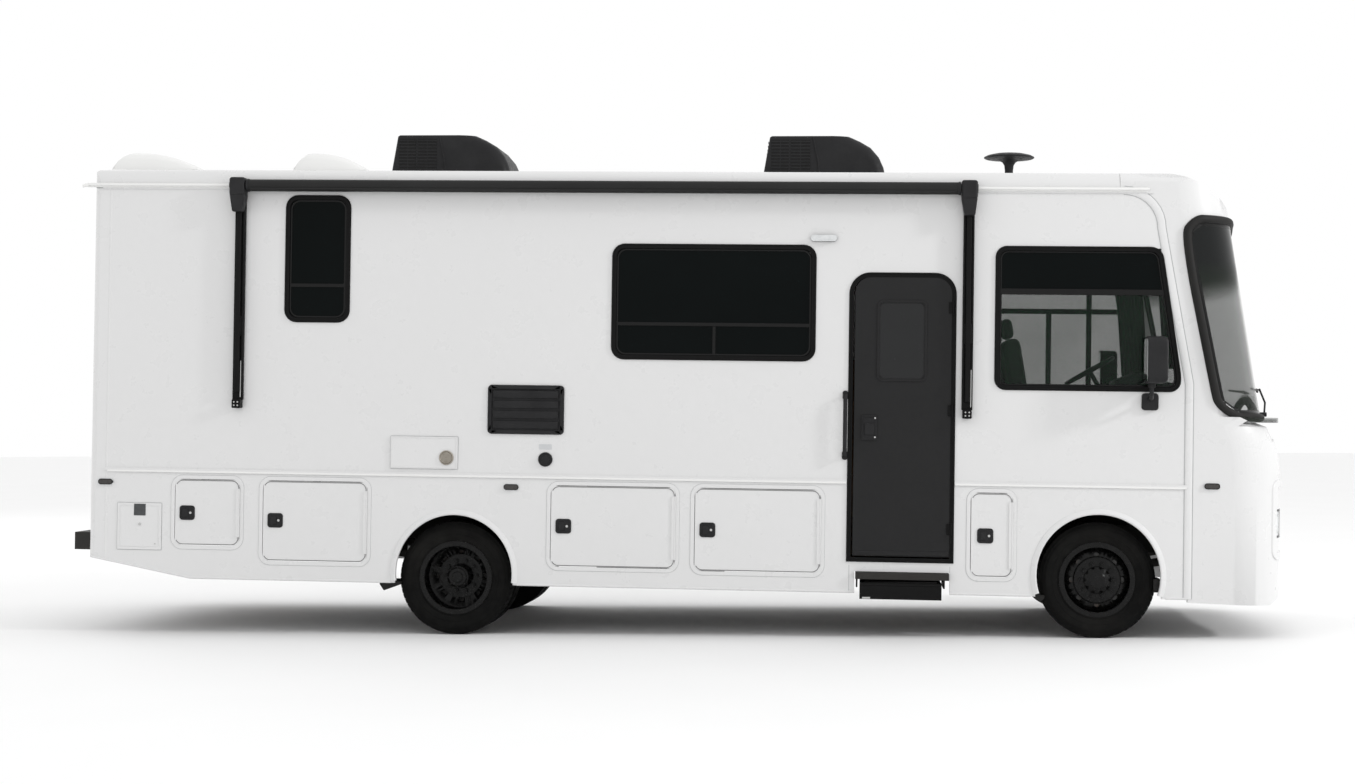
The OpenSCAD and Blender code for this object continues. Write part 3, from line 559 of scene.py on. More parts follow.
def paint(shader, colour, roughness, spread=0.04, grain=900.0, lift=0.00003, coat=0.0, scale=2.2, shine=0.5):
    """Sprayed or moulded paint: slow colour drift, uneven gloss and orange peel."""
    shader.set("Specular IOR Level", shine)
    drift = shader.noise(scale, 3.0)
    dark, light = shades(colour, spread)
    shader.colour(drift, dark, light)
    gloss = shader.noise(scale * 6, 4.0, 0.6)
    shader.gloss(gloss, roughness * 0.8, roughness * 1.25)
    if coat:
        shader.set("Coat Weight", coat)
        shader.set("Coat Roughness", 0.06)
    shader.bump(shader.noise(grain, 2.0), 0.25, lift)


@finish_of()
def white_gelcoat(shader):
    colours = bpy.context.scene.motorhome_colours
    paint(shader, colours.shell, 0.30, 0.010, 420.0, 0.000006, 0.35, 0.9)


@finish_of()
def black_powder_coat(shader):
    colours = bpy.context.scene.motorhome_colours
    paint(shader, colours.trim, 0.42, 0.25, 1500.0, 0.00006, 0.0, 5.0, 0.10)


@finish_of(Specular_IOR_Level=0.16)
def door_skin(shader):
    colours = bpy.context.scene.motorhome_colours
    drift = shader.noise(3.0, 3.0)
    dark, light = shades(colours.door, 0.12)
    shader.colour(drift, dark, light)
    gloss = shader.noise(30.0, 4.0)
    shader.gloss(gloss, 0.40, 0.58)
    shader.bump(shader.cells(420.0), 0.3, 0.00025)


@finish_of()
def black_gloss(shader):
    paint(shader, (0.005, 0.005, 0.005), 0.12, 0.2, 600.0, 0.00001, 0.0, 8.0, 0.2)


@finish_of(Specular_IOR_Level=0.18)
def black_plastic(shader):
    fade = shader.noise(7.0, 4.0)
    shader.colour(fade, (0.010, 0.010, 0.011), (0.024, 0.024, 0.025))
    shader.gloss(shader.noise(40.0, 3.0), 0.38, 0.6)
    shader.bump(shader.cells(700.0), 0.35, 0.0003)


@finish_of(Specular_IOR_Level=0.2)
def grey_plastic(shader):
    fade = shader.noise(6.0, 4.0)
    shader.colour(fade, (0.022, 0.022, 0.024), (0.04, 0.04, 0.043))
    shader.gloss(shader.noise(30.0, 3.0), 0.5, 0.72)
    shader.bump(shader.cells(520.0), 0.4, 0.0004)


@finish_of()
def white_plastic(shader):
    paint(shader, (0.80, 0.80, 0.79), 0.36, 0.02, 800.0, 0.00003, 0.1, 3.0)


@finish_of()
def sealant(shader):
    paint(shader, (0.42, 0.43, 0.43), 0.6, 0.12, 200.0, 0.0002, 0.0, 12.0)


@finish_of(Metallic=1.0)
def satin_metal(shader):
    streak = shader.noise(60.0, 3.0, 0.5, (1.0, 1.0, 12.0))
    shader.colour(streak, (0.42, 0.42, 0.42), (0.62, 0.62, 0.61))
    shader.gloss(streak, 0.26, 0.42)


@finish_of(Metallic=0.6)
def door_gap_painted_shade(shader):
    """Dull grey line along the gap round a luggage door: the gap is real, its darkness is painted shade."""
    haze = shader.noise(30.0, 3.0)
    shader.colour(haze, (0.12, 0.12, 0.12), (0.20, 0.20, 0.20))
    shader.gloss(haze, 0.3, 0.5)


@finish_of(Metallic=1.0)
def chrome(shader):
    haze = shader.noise(50.0, 3.0)
    shader.colour(haze, (0.62, 0.63, 0.64), (0.78, 0.78, 0.78))
    shader.gloss(haze, 0.07, 0.18)


@finish_of(Specular_IOR_Level=0.06)
def privacy_glass(shader):
    film = shader.noise(1.6, 2.0)
    shader.colour(film, (0.0012, 0.0022, 0.0022), (0.003, 0.0045, 0.0045))
    shader.gloss(shader.noise(24.0, 3.0), 0.03, 0.07)
    shader.bump(shader.noise(3.0, 1.0), 0.05, 0.002)


@finish_of(Specular_IOR_Level=0.25)
def clear_glass(shader):
    """Green tinted glass, which lets the cab show."""
    film = shader.noise(2.0, 2.0)
    shader.colour(film, (0.004, 0.012, 0.006), (0.007, 0.018, 0.010))
    shader.gloss(shader.noise(20.0, 3.0), 0.02, 0.05)
    shader.set("Alpha", shader.ramp(film, 0.36, 0.40, 0.3, 0.7))


@finish_of(Specular_IOR_Level=0.25)
def windshield_glass(shader):
    """Tinted glass with a dark shade band along its upper edge."""
    height = shader.axis("Z")
    band = shader.ramp(height, 0.0, 1.0, 2.42, 2.62)
    film = shader.noise(2.0, 2.0)
    glass = shader.mix(film, (0.018, 0.024, 0.018), (0.030, 0.038, 0.030))
    shader.colour(band, glass, (0.004, 0.005, 0.005))
    shader.gloss(shader.noise(20.0, 3.0), 0.02, 0.05)
    shader.set("Alpha", shader.ramp(band, 0.34, 0.98))


@finish_of(Metallic=1.0)
def mirror_glass(shader):
    haze = shader.noise(12.0, 2.0)
    shader.colour(haze, (0.70, 0.72, 0.72), (0.80, 0.82, 0.82))
    shader.gloss(haze, 0.02, 0.06)


@finish_of(Specular_IOR_Level=0.2)
def rubber(shader):
    dust = shader.noise(9.0, 5.0, 0.6)
    shader.colour(dust, (0.008, 0.008, 0.008), (0.022, 0.021, 0.020))
    shader.gloss(dust, 0.55, 0.75)
    shader.bump(shader.noise(260.0, 3.0), 0.3, 0.0002)


@finish_of(Specular_IOR_Level=0.08)
def tyre_rubber(shader):
    """Sidewall and tread rubber with patches of road dust."""
    dust = shader.noise(14.0, 6.0, 0.65)
    stain = shader.noise(2.5, 3.0)
    base = shader.mix(
        shader.ramp(dust, 0.0, 1.0, 0.35, 0.75), (0.003, 0.003, 0.003), (0.009, 0.009, 0.0085)
    )
    shader.colour(shader.ramp(stain, 0.0, 0.30, 0.5, 0.8), base, (0.030, 0.028, 0.025))
    shader.gloss(dust, 0.62, 0.85)
    shader.bump(shader.noise(340.0, 4.0), 0.3, 0.0003)


@finish_of(Specular_IOR_Level=0.20)
def rim_enamel(shader):
    """Black enamel with dust in its low gloss patches."""
    dust = shader.noise(30.0, 5.0, 0.6)
    dirty = shader.ramp(dust, 0.0, 1.0, 0.48, 0.72)
    shader.colour(dirty, (0.002, 0.002, 0.002), (0.007, 0.0068, 0.0065))
    shader.set("Roughness", shader.ramp(dirty, 0.22, 0.5))
    shader.bump(shader.noise(220.0, 3.0), 0.2, 0.0002)


@finish_of(Metallic=0.6)
def cast_iron(shader):
    grain = shader.noise(70.0, 5.0, 0.6)
    rust = shader.ramp(shader.noise(11.0, 5.0, 0.65), 0.0, 0.7, 0.52, 0.72)
    base = shader.mix(grain, (0.035, 0.035, 0.036), (0.085, 0.083, 0.08))
    shader.colour(rust, base, (0.10, 0.055, 0.03))
    shader.gloss(grain, 0.55, 0.85)
    shader.bump(grain, 0.5, 0.0008)


@finish_of(Specular_IOR_Level=0.2)
def chassis_paint(shader):
    dust = shader.noise(8.0, 6.0, 0.65)
    shader.colour(dust, (0.012, 0.012, 0.012), (0.045, 0.042, 0.038))
    shader.gloss(dust, 0.45, 0.8)
    shader.bump(shader.noise(180.0, 3.0), 0.3, 0.0003)


@finish_of(Metallic=1.0)
def pipe_steel(shader):
    heat = shader.noise(5.0, 4.0)
    soot = shader.ramp(shader.noise(20.0, 5.0), 0.0, 0.8, 0.5, 0.8)
    base = shader.mix(heat, (0.30, 0.27, 0.23), (0.46, 0.43, 0.38))
    shader.colour(soot, base, (0.10, 0.07, 0.05))
    shader.gloss(heat, 0.35, 0.6)


@finish_of()
def tank_plastic(shader):
    paint(shader, (0.03, 0.03, 0.03), 0.6, 0.3, 120.0, 0.0005, 0.0, 4.0)


@finish_of()
def bay_lining(shader):
    paint(shader, (0.17, 0.17, 0.17), 0.8, 0.15, 160.0, 0.0008, 0.0, 6.0)


@finish_of(IOR=1.5)
def clear_lens(shader):
    flute = (shader.axis("Y") * 520.0).wave()
    shader.colour(shader.noise(40.0), (0.55, 0.57, 0.58), (0.75, 0.76, 0.76))
    shader.gloss(shader.noise(60.0), 0.05, 0.14)
    shader.bump(flute, 0.5, 0.001)


def lens(shader, colour):
    """Coloured lens plastic with moulded prisms."""
    shader.set("IOR", 1.5)
    prism = shader.cells(110.0)
    dark, light = shades(colour, 0.3)
    shader.colour(prism, light, dark)
    shader.set("Roughness", shader.ramp(prism, 0.08, 0.2))
    shader.bump(prism, 0.4, 0.001)


@finish_of()
def red_lens(shader):
    lens(shader, (0.30, 0.008, 0.008))


@finish_of()
def amber_lens(shader):
    lens(shader, (0.45, 0.13, 0.01))


@finish_of()
def smoked_lens(shader):
    lens(shader, (0.035, 0.032, 0.030))


@finish_of(Sheen_Weight=0.3)
def seat_cloth(shader):
    """Woven charcoal cloth."""
    warp = (shader.axis("Y") * 1900.0).wave()
    weft = (shader.axis("Z") * 1900.0).wave()
    weave = warp * weft * 0.5 + 0.5
    tone = shader.noise(14.0, 4.0)
    base = shader.mix(tone, (0.030, 0.030, 0.032), (0.055, 0.054, 0.056))
    shader.colour(shader.ramp(weave, 0.0, 0.4), base, (0.014, 0.014, 0.015))
    shader.gloss(tone, 0.82, 0.95)
    shader.bump(weave, 0.5, 0.0006)


@finish_of(Sheen_Weight=0.2)
def pleated_cloth(shader):
    thread = (shader.axis("Z") * 2600.0).wave()
    tone = shader.noise(9.0, 3.0)
    shader.colour(tone, (0.010, 0.010, 0.011), (0.022, 0.022, 0.024))
    shader.gloss(tone, 0.85, 0.95)
    shader.bump(thread, 0.4, 0.0004)


@finish_of()
def cabinet_wood(shader):
    rings = shader.noise(4.0, 6.0, 0.6, (1.2, 9.0, 9.0))
    pores = shader.noise(60.0, 3.0, 0.6, (0.4, 6.0, 6.0))
    base = shader.mix(rings, (0.16, 0.085, 0.045), (0.34, 0.20, 0.11))
    shader.colour(shader.ramp(pores, 0.0, 0.5, 0.55, 0.8), base, (0.08, 0.04, 0.02))
    shader.gloss(rings, 0.38, 0.55)
    shader.bump(pores, 0.3, 0.0004)


@finish_of()
def floor_vinyl(shader):
    grain = shader.noise(6.0, 6.0, 0.6, (1.0, 8.0, 1.0))
    plank = (shader.axis("Y") * 41.0).wave()
    base = shader.mix(grain, (0.13, 0.09, 0.06), (0.26, 0.19, 0.13))
    shader.colour(shader.ramp(plank, 0.0, 1.0, 0.985, 1.0), base, (0.05, 0.035, 0.025))
    shader.gloss(grain, 0.4, 0.6)
    shader.bump(grain, 0.2, 0.0004)


@finish_of()
def blank_plate(shader):
    paint(shader, (0.55, 0.56, 0.57), 0.4, 0.05, 500.0, 0.0001, 0.0, 20.0)


@finish_of()
def dark_label(shader):
    paint(shader, (0.045, 0.048, 0.05), 0.35, 0.3, 300.0, 0.0001, 0.0, 60.0)


@finish_of()
def studio_floor(shader):
    drift = shader.noise(0.6, 3.0)
    shader.colour(drift, (0.90, 0.90, 0.90), (0.93, 0.93, 0.93))
    shader.gloss(shader.noise(8.0, 3.0), 0.8, 0.9)


# ------------------------------------------------------------------ settings
class MotorhomeColours(bpy.types.PropertyGroup):
    """Paint and trim colours."""

    shell: FloatVectorProperty(
        name="Shell", description="Gelcoat of the body", subtype="COLOR", size=3, default=(0.70, 0.70, 0.70)
    )
    trim: FloatVectorProperty(
        name="Trim", description="Powder coat of frames, arms and bars", subtype="COLOR", size=3,
        default=(0.006, 0.006, 0.006),
    )
    door: FloatVectorProperty(
        name="Door", description="Skin of the entry door", subtype="COLOR", size=3,
        default=(0.016, 0.016, 0.0165),
    )


class MotorhomeSizes(bpy.types.PropertyGroup):
    """Sizes of the trim that a maker would change."""

    frame_width: FloatProperty(
        name="Window frame", description="Width of the outer window frames", default=0.034, unit="LENGTH"
    )
    locker_flange: FloatProperty(
        name="Locker flange", description="Width of the frame round a luggage door", default=0.028,
        unit="LENGTH",
    )
    arch_lip: FloatProperty(
        name="Arch lip", description="Width of the lip round a wheel arch", default=0.034, unit="LENGTH"
    )
    tread_blocks: IntProperty(
        name="Tread blocks", description="Blocks round a tyre", default=64, min=24, max=96
    )
    nuts: IntProperty(name="Wheel nuts", description="Nuts on each wheel", default=10, min=5, max=12)


def sizes():
    return bpy.context.scene.motorhome_sizes


# ------------------------------------------------------------------ shell and trim
def shaped_cap():
    """The front cap with its upright nose curving in towards the windshield."""
    made = softened("front_cap", white_gelcoat(), 0.0, name="front_cap_skin")
    start, end, depth, drop, ledge = 1.215, 1.600, 0.085, 0.030, 0.124
    part = bmesh.new()
    part.from_mesh(made.data)
    part.transform(BODY.inverted())
    for i in range(9):
        bmesh.ops.bisect_plane(
            part,
            geom=[*part.verts, *part.edges, *part.faces],
            plane_co=(0.0, 0.0, start + (end - 0.004 - start) * i / 8),
            plane_no=(0.0, 0.0, 1.0),
        )
    for vert in part.verts:
        x, y, z = vert.co
        rise = min(1.0, max(0.0, (z - start) / (end - start)))
        near = min(1.0, max(0.0, 1.0 - (front_x(y) - x) / ledge))
        if z < end + 0.002:
            vert.co.x -= depth * rise * rise * near
            vert.co.z -= drop * near * rise**4
    part.transform(BODY)
    part.to_mesh(made.data)
    part.free()
    made.data.shade_smooth()
    made.data.set_sharp_from_angle(angle=math.radians(35))
    foot = Piece("front_cap_foot_filler")
    for side in SIDES:
        x0, x1, inner, rear_face, front_face = 5.5990, 5.6240, 1.190, 1.2372, 1.2234
        part = block((x0, side * rear_face, 0.3324), (x1, side * inner, 0.4070))
        for vert in part.verts:
            if abs(vert.co.y) > (inner + front_face) / 2:
                vert.co.y = side * (rear_face if vert.co.x < (x0 + x1) / 2 else front_face)
        foot.add(part)
    foot.finish(white_gelcoat())


class MOTORHOME_OT_shell(bpy.types.Operator):
    """Dress the body shell in gelcoat and the running gear in its own finishes"""

    bl_idname = "motorhome.shell"
    bl_label = "Body Shell"

    def execute(self, context):
        for node in (
            "right_wall", "left_wall", "right_skirt", "left_skirt", "roof", "rear_cap", "front_cap"
        ):
            dress(node, white_gelcoat())
        shaped_cap()
        for node in ("wheel_housings", "frame_rails", "frame_cross_members", "floor_outriggers"):
            dress(node, chassis_paint())
        dress("storage_bays", bay_lining())
        dress("floor", floor_vinyl())
        return {"FINISHED"}


def seam_path():
    """Line of the joint between side wall and front cap, from the skirt to the roof."""
    low = [(SEAM, 0.0, SKIRT_BOTTOM + 0.004), (SEAM, 0.0, 1.85)]
    lean_end = (SEAM - 0.200, DRIP - 0.260)
    centre, radius = (SEAM - 0.460, DRIP - 0.260), 0.260
    low.append((lean_end[0], 0.0, lean_end[1]))
    turn = [math.radians(a) for a in range(10, 91, 10)]
    low += [(centre[0] + radius * math.cos(a), 0.0, centre[1] + radius * math.sin(a)) for a in turn]
    return low


def beside(points, by):
    """The same path on the side wall, moved sideways."""
    moved = []
    for i, point in enumerate(points):
        before, after = Vector(points[max(0, i - 1)]), Vector(points[min(len(points) - 1, i + 1)])
        along = (after - before).normalized()
        moved.append((point[0] + along.z * by, point[1], point[2] - along.x * by))
    return moved


class MOTORHOME_OT_trim(bpy.types.Operator):
    """Rails, gutter, seams and lips on the side walls"""

    bl_idname = "motorhome.trim"
    bl_label = "Rails and Seams"

    def execute(self, context):
        rails = Piece("belt_rail_insert")
        door_gap = (DOOR[0] - 0.004, DOOR[2] + 0.004)
        for side in SIDES:
            runs = ((REAR_SEAM + 0.01, door_gap[0]), (door_gap[1], SEAM - 0.012))
            for start, end in runs if side == RIGHT else ((REAR_SEAM + 0.01, SEAM - 0.012),):
                strip = plate(rect(start, BELT - 0.007, end, BELT + 0.007), 0.0, 0.006, 0.0105, 0.0015)
                rails.add(strip, on_side(side))
        rails.finish(white_plastic())

        gutter = Piece("drip_gutter")
        for side in SIDES:
            path = [(BACK - 0.060, -0.020, DRIP + 0.006), (ROOF_SEAM + 0.20, -0.020, DRIP + 0.006)]
            gutter.add(bead(path, 0.009), on_side(side))
            lip = plate(
                rect(BACK - 0.045, DRIP - 0.012, ROOF_SEAM + 0.19, DRIP + 0.020), 0.004, 0.0, 0.014, 0.003
            )
            gutter.add(lip, on_side(side))
            spout = bead(
                [(BACK - 0.030, -0.018, DRIP + 0.004), (BACK - 0.076, -0.026, DRIP - 0.006)], 0.011
            )
            gutter.add(spout, on_side(side))
        gutter.finish(white_plastic())

        joint = Piece("roof_joint_sealant")
        for side in SIDES:
            path = [(BACK + 0.02, -0.0015, DRIP - 0.015), (ROOF_SEAM + 0.18, -0.0015, DRIP - 0.015)]
            joint.add(bead(path, 0.003), on_side(side))
        joint.finish(sealant())

        seams = Piece("cap_seam_bands")
        lines = Piece("cap_seam_lines")
        squeeze = Matrix.Diagonal((1.0, 0.22, 1.0, 1.0))
        rear = [(REAR_SEAM, 0.0, 0.490), (REAR_SEAM, 0.0, DRIP - 0.014)]
        for side in SIDES:
            seat = on_side(side)
            seams.add(bead(seam_path(), 0.027), seat @ squeeze)
            seams.add(bead(rear, 0.008), seat @ squeeze)
            for by in (-0.029, 0.029):
                lines.add(bead(beside(seam_path(), by), 0.0026, sides=1), seat)
            lines.add(
                bead([(BACK + 0.034, 0.021, 0.530), (BACK + 0.034, 0.021, DRIP - 0.02)], 0.004, sides=1),
                seat,
            )
            filler = ((-2.672, 0.516), (-2.672, 0.5045), (-2.556, 0.4832), (-2.556, 0.516))
            seams.add(plate(filler, 0.0, -0.030, -0.0005), seat)
        seams.finish(white_gelcoat())
        lines.finish(sealant())

        lips = Piece("wheel_arch_lips")
        width = sizes().arch_lip
        section = (
            (-0.006, -0.02), (-0.006, 0.010), (0.002, 0.015), (width * 0.5, 0.012), (width, 0.003),
            (width, -0.002),
        )
        for side in SIDES:
            for x, z, radius in (REAR_ARCH, FRONT_ARCH):
                foot = math.asin((SKIRT_BOTTOM + 0.012 - z) / (radius + width))
                lips.add(swept_arc(section, (x, z), radius, foot, math.pi - foot, 40), on_side(side))
        lips.finish(white_gelcoat())

        hem = Piece("skirt_hem")
        for side in SIDES:
            line = SKIRT_BOTTOM + 0.006
            stops = (
                ((BACK + 0.030, 0.510), (-1.928, line), (REAR_ARCH[0] - REAR_ARCH[2] - 0.030, line)),
                ((REAR_ARCH[0] + REAR_ARCH[2] + 0.030, line), (STEP[0] - 0.035, line)),
                ((STEP[1] + 0.055, line), (FRONT_ARCH[0] - FRONT_ARCH[2] - 0.030, line)),
                ((FRONT_ARCH[0] + FRONT_ARCH[2] + 0.030, line), (SEAM, line)),
            )
            for run in stops:
                hem.add(bead([(x, 0.004, z) for x, z in run], 0.009), on_side(side))
        hem.finish(white_gelcoat())

        cuts = Piece("skirt_joint_lines")
        for x in (2.793, 3.493):
            cuts.add(bead([(x, 0.001, SKIRT_BOTTOM + 0.01), (x, 0.001, 0.560)], 0.002), on_side(RIGHT))
        cuts.finish(sealant())
        return {"FINISHED"}


# ------------------------------------------------------------------ windows
def window_list(side):
    """Dark windows of one side: outline, corner radius, and bars as (x0, z0, x1, z1)."""
    bedroom_bar = ((-1.230, 2.470, -0.828, 2.496),)
    living_bar = ((1.133, 2.218, 2.502, 2.244), (1.813, 2.015, 1.836, 2.218))
    found = [(BEDROOM, 0.090, bedroom_bar), (LIVING, 0.090, living_bar)]
    if side == LEFT:
        found.append((GALLEY, 0.090, ((2.899, 2.420, 3.373, 2.446),)))
    return found


def cab_corners(radius):
    """Corner radii of the cab window, with an easy bend where its front edge starts to lean."""
    return (radius, radius, radius / 3, radius, radius)


class MOTORHOME_OT_windows(bpy.types.Operator):
    """Window frames, sashes, bars and glass"""

    bl_idname = "motorhome.windows"
    bl_label = "Windows"

    def execute(self, context):
        width = sizes().frame_width
        frames = Piece("window_bezels")
        sashes = Piece("window_sashes")
        dark = Piece("privacy_panes")
        clear = Piece("cab_side_panes")
        for side in SIDES:
            seat = on_side(side)
            for outline, radius, bars in window_list(side):
                frames.add(ring(outline, radius, width, -0.040, 0.009, 0.004), seat)
                frames.add(ring(inset(outline, 0.004), radius, 0.010, 0.008, 0.0125, 0.003), seat)
                inner = inset(outline, width)
                sashes.add(ring(inner, radius - width * 0.6, 0.014, -0.022, -0.002, 0.003), seat)
                for x0, z0, x1, z1 in bars:
                    sashes.add(plate(rect(x0, z0, x1, z1), 0.0, -0.020, -0.001, 0.003), seat)
                dark.add(plate(inset(outline, width - 0.002), radius - width * 0.6, -0.016, -0.008), seat)
            frames.add(ring(CAB, cab_corners(0.078), width, -0.040, 0.009, 0.004), seat)
            frames.add(ring(inset(CAB, 0.004), cab_corners(0.076), 0.010, 0.008, 0.0125, 0.003), seat)
            sashes.add(ring(inset(CAB, width), cab_corners(0.055), 0.012, -0.022, -0.002, 0.003), seat)
            bar = rect(3.815, CAB_BAR - 0.021, 4.955, CAB_BAR + 0.021)
            sashes.add(plate(bar, 0.0, -0.030, 0.001, 0.004), seat)
            lean = (CAB[3][0] - CAB[2][0]) / (CAB[3][1] - CAB[2][1])
            edge = CAB[2][0] - width + (CAB_BAR - CAB[2][1]) * lean
            top = inset(CAB, width - 0.002)
            upper = (
                (top[0][0], CAB_BAR), (edge + 0.002, CAB_BAR), (top[3][0], top[3][1]), (
                    top[4][0], top[4][1]
                )
            )
            lower = (top[0], top[1], top[2], (edge + 0.002, CAB_BAR), (top[0][0], CAB_BAR))
            (dark if side == RIGHT else clear).add(plate(upper, 0.02, -0.016, -0.009), seat)
            clear.add(plate(lower, 0.0, -0.014, -0.009), seat)
            if side == LEFT:
                for x, top_end in ((4.375, CAB_BAR), (4.698, 2.77)):
                    sashes.add(
                        plate(rect(x - 0.021, 1.83, x + 0.021, top_end), 0.0, -0.030, -0.002, 0.004), seat
                    )
        frames.add(ring(REAR_WINDOW, 0.070, width, -0.030, 0.009, 0.004), ON_BACK)
        sashes.add(ring(inset(REAR_WINDOW, width), 0.045, 0.012, -0.022, -0.002, 0.003), ON_BACK)
        dark.add(plate(inset(REAR_WINDOW, width - 0.002), 0.045, -0.016, -0.008), ON_BACK)
        frames.finish(black_powder_coat(), replaces=("window_frames",))
        sashes.finish(black_gloss())
        dark.finish(privacy_glass(), replaces=("window_glass",))
        clear.finish(clear_glass())
        return {"FINISHED"}


# ------------------------------------------------------------------ windshield
def outer_skin(node, steepest=20.0):
    """The outward face of a curved sheet, as its own bmesh in the world frame."""
    skin = bmesh.new()
    skin.from_mesh(frame["nodes"][node].data)
    bmesh.ops.remove_doubles(skin, verts=skin.verts, dist=1e-5)
    skin.faces.ensure_lookup_table()
    seed = max((f for f in skin.faces if f.normal.x > 0.5), key=lambda f: f.calc_area())
    kept, edge_of = {seed}, [seed]
    while edge_of:
        face = edge_of.pop()
        for edge in face.edges:
            for other in edge.link_faces:
                if other not in kept and face.normal.angle(other.normal, 3.0) < math.radians(steepest):
                    kept.add(other)
                    edge_of.append(other)
    bmesh.ops.delete(skin, geom=[f for f in skin.faces if f not in kept], context="FACES")
    return skin


def rim_points(skin):
    """Points round the open rim of a sheet, in order, always from the same corner and the same way."""
    rim = {e for e in skin.edges if e.is_boundary}

    def rank(vert):
        return [round(c, 4) for c in (vert.co.z, vert.co.y, vert.co.x)]

    here = min((v for e in rim for v in e.verts), key=rank)
    edge = min((e for e in here.link_edges if e in rim), key=lambda e: rank(e.other_vert(here)))
    points = []
    while edge is not None:
        rim.discard(edge)
        points.append(here.co.copy())
        here = edge.other_vert(here)
        edge = next((e for e in here.link_edges if e in rim), None)
    return points


def smoothed(points, times):
    """Cuts the corners of a closed path, over and over, until it runs smoothly."""
    for _ in range(times):
        cut = []
        for here, after in zip(points, points[1:] + points[:1]):
            cut += [here.lerp(after, 0.25), here.lerp(after, 0.75)]
        points = cut
    return points


def thinned(points, gap):
    """Drops points that lie closer together than a gap."""
    kept = [points[0]]
    for point in points[1:]:
        if (point - kept[-1]).length > gap:
            kept.append(point)
    return kept


class MOTORHOME_OT_windshield(bpy.types.Operator):
    """Windshield glass, its gasket, black border and wipers"""

    bl_idname = "motorhome.windshield"
    bl_label = "Windshield"

    def execute(self, context):
        dress("windshield", windshield_glass())
        skin = outer_skin("windshield")
        rim = smoothed(thinned(rim_points(skin), 0.050), 3)

        border = bmesh.ops.inset_region(
            skin, faces=list(skin.faces), thickness=0.050, use_even_offset=False, use_boundary=True
        )
        band = set(border["faces"])
        bmesh.ops.delete(skin, geom=[f for f in skin.faces if f not in band], context="FACES")
        for vert in skin.verts:
            vert.co += vert.normal * 0.0012
        frit = Piece("windshield_border", WORLD)
        frit.add(skin, close=False)
        made = frit.finish(black_gloss(), smooth=60)
        thick = made.modifiers.new("sheet", "SOLIDIFY")
        thick.thickness = 0.0015

        gasket = Piece("windshield_gasket", WORLD)
        gasket.add(bead(rim, 0.030, closed=True, sides=5))
        gasket.finish(rubber())

        wipers = Piece("wipers")
        for y in (-0.60, 0.20):
            foot = Vector((glass_x(y, 1.655) + 0.030, y, 1.655))
            knee = Vector((glass_x(y, 1.74) + 0.055, y + 0.03, 1.740))
            top = Vector((glass_x(y, 1.84) + 0.040, y + 0.08, 1.840))
            wipers.add(rod(foot - Vector((0.050, 0, 0)), foot + Vector((0.016, 0, 0)), 0.016, sides=16))
            wipers.add(bead([foot, knee, top], 0.007))
            across = [-0.34, -0.17, 0.0, 0.17, 0.34]
            blade = [(glass_x(y + d, 1.83) + 0.014, y + 0.08 + d, 1.83 + 0.05 * d) for d in across]
            wipers.add(bead(blade, 0.008))
            bow = [(x + 0.016, at, z + 0.004) for x, at, z in blade[1:4]]
            wipers.add(bead(bow, 0.005))
        wipers.finish(black_plastic())
        return {"FINISHED"}


def glass_x(y, z):
    """X of the leaning windshield."""
    return front_x(y) - 0.120 - (z - 1.600) * math.tan(math.radians(9.5))


def front_x(y):
    """X of the upright nose at a distance from the middle."""
    bow, corner, half = 5.0, 0.380, SKIN
    tangent = (half - corner) * bow / (bow - corner)
    if abs(y) <= tangent:
        plan = -bow + math.sqrt(bow * bow - y * y)
    else:
        centre = -bow + math.sqrt((bow - corner) ** 2 - (half - corner) ** 2)
        plan = centre + math.sqrt(max(0.0, corner**2 - (abs(y) - half + corner) ** 2))
    return min(NOSE, NOSE + 0.006 + plan)


def wrap_front(part, lift=0.0):
    """Bends a part drawn on the XZ plane, facing -Y, round the upright nose."""
    for vert in part.verts:
        across, out, height = vert.co.x, -vert.co.y, vert.co.z
        vert.co = Vector((front_x(across) + out + lift, across, height))
    bmesh.ops.recalc_face_normals(part, faces=list(part.faces))
    return part


def divided(part, cuts):
    """Cuts long edges so that a part can bend."""
    low = min(v.co.x for v in part.verts)
    high = max(v.co.x for v in part.verts)
    for i in range(1, cuts):
        where = low + (high - low) * i / cuts
        bmesh.ops.bisect_plane(
            part,
            geom=[*part.verts, *part.edges, *part.faces],
            plane_co=(where, 0.0, 0.0),
            plane_no=(1.0, 0.0, 0.0),
        )
    return part


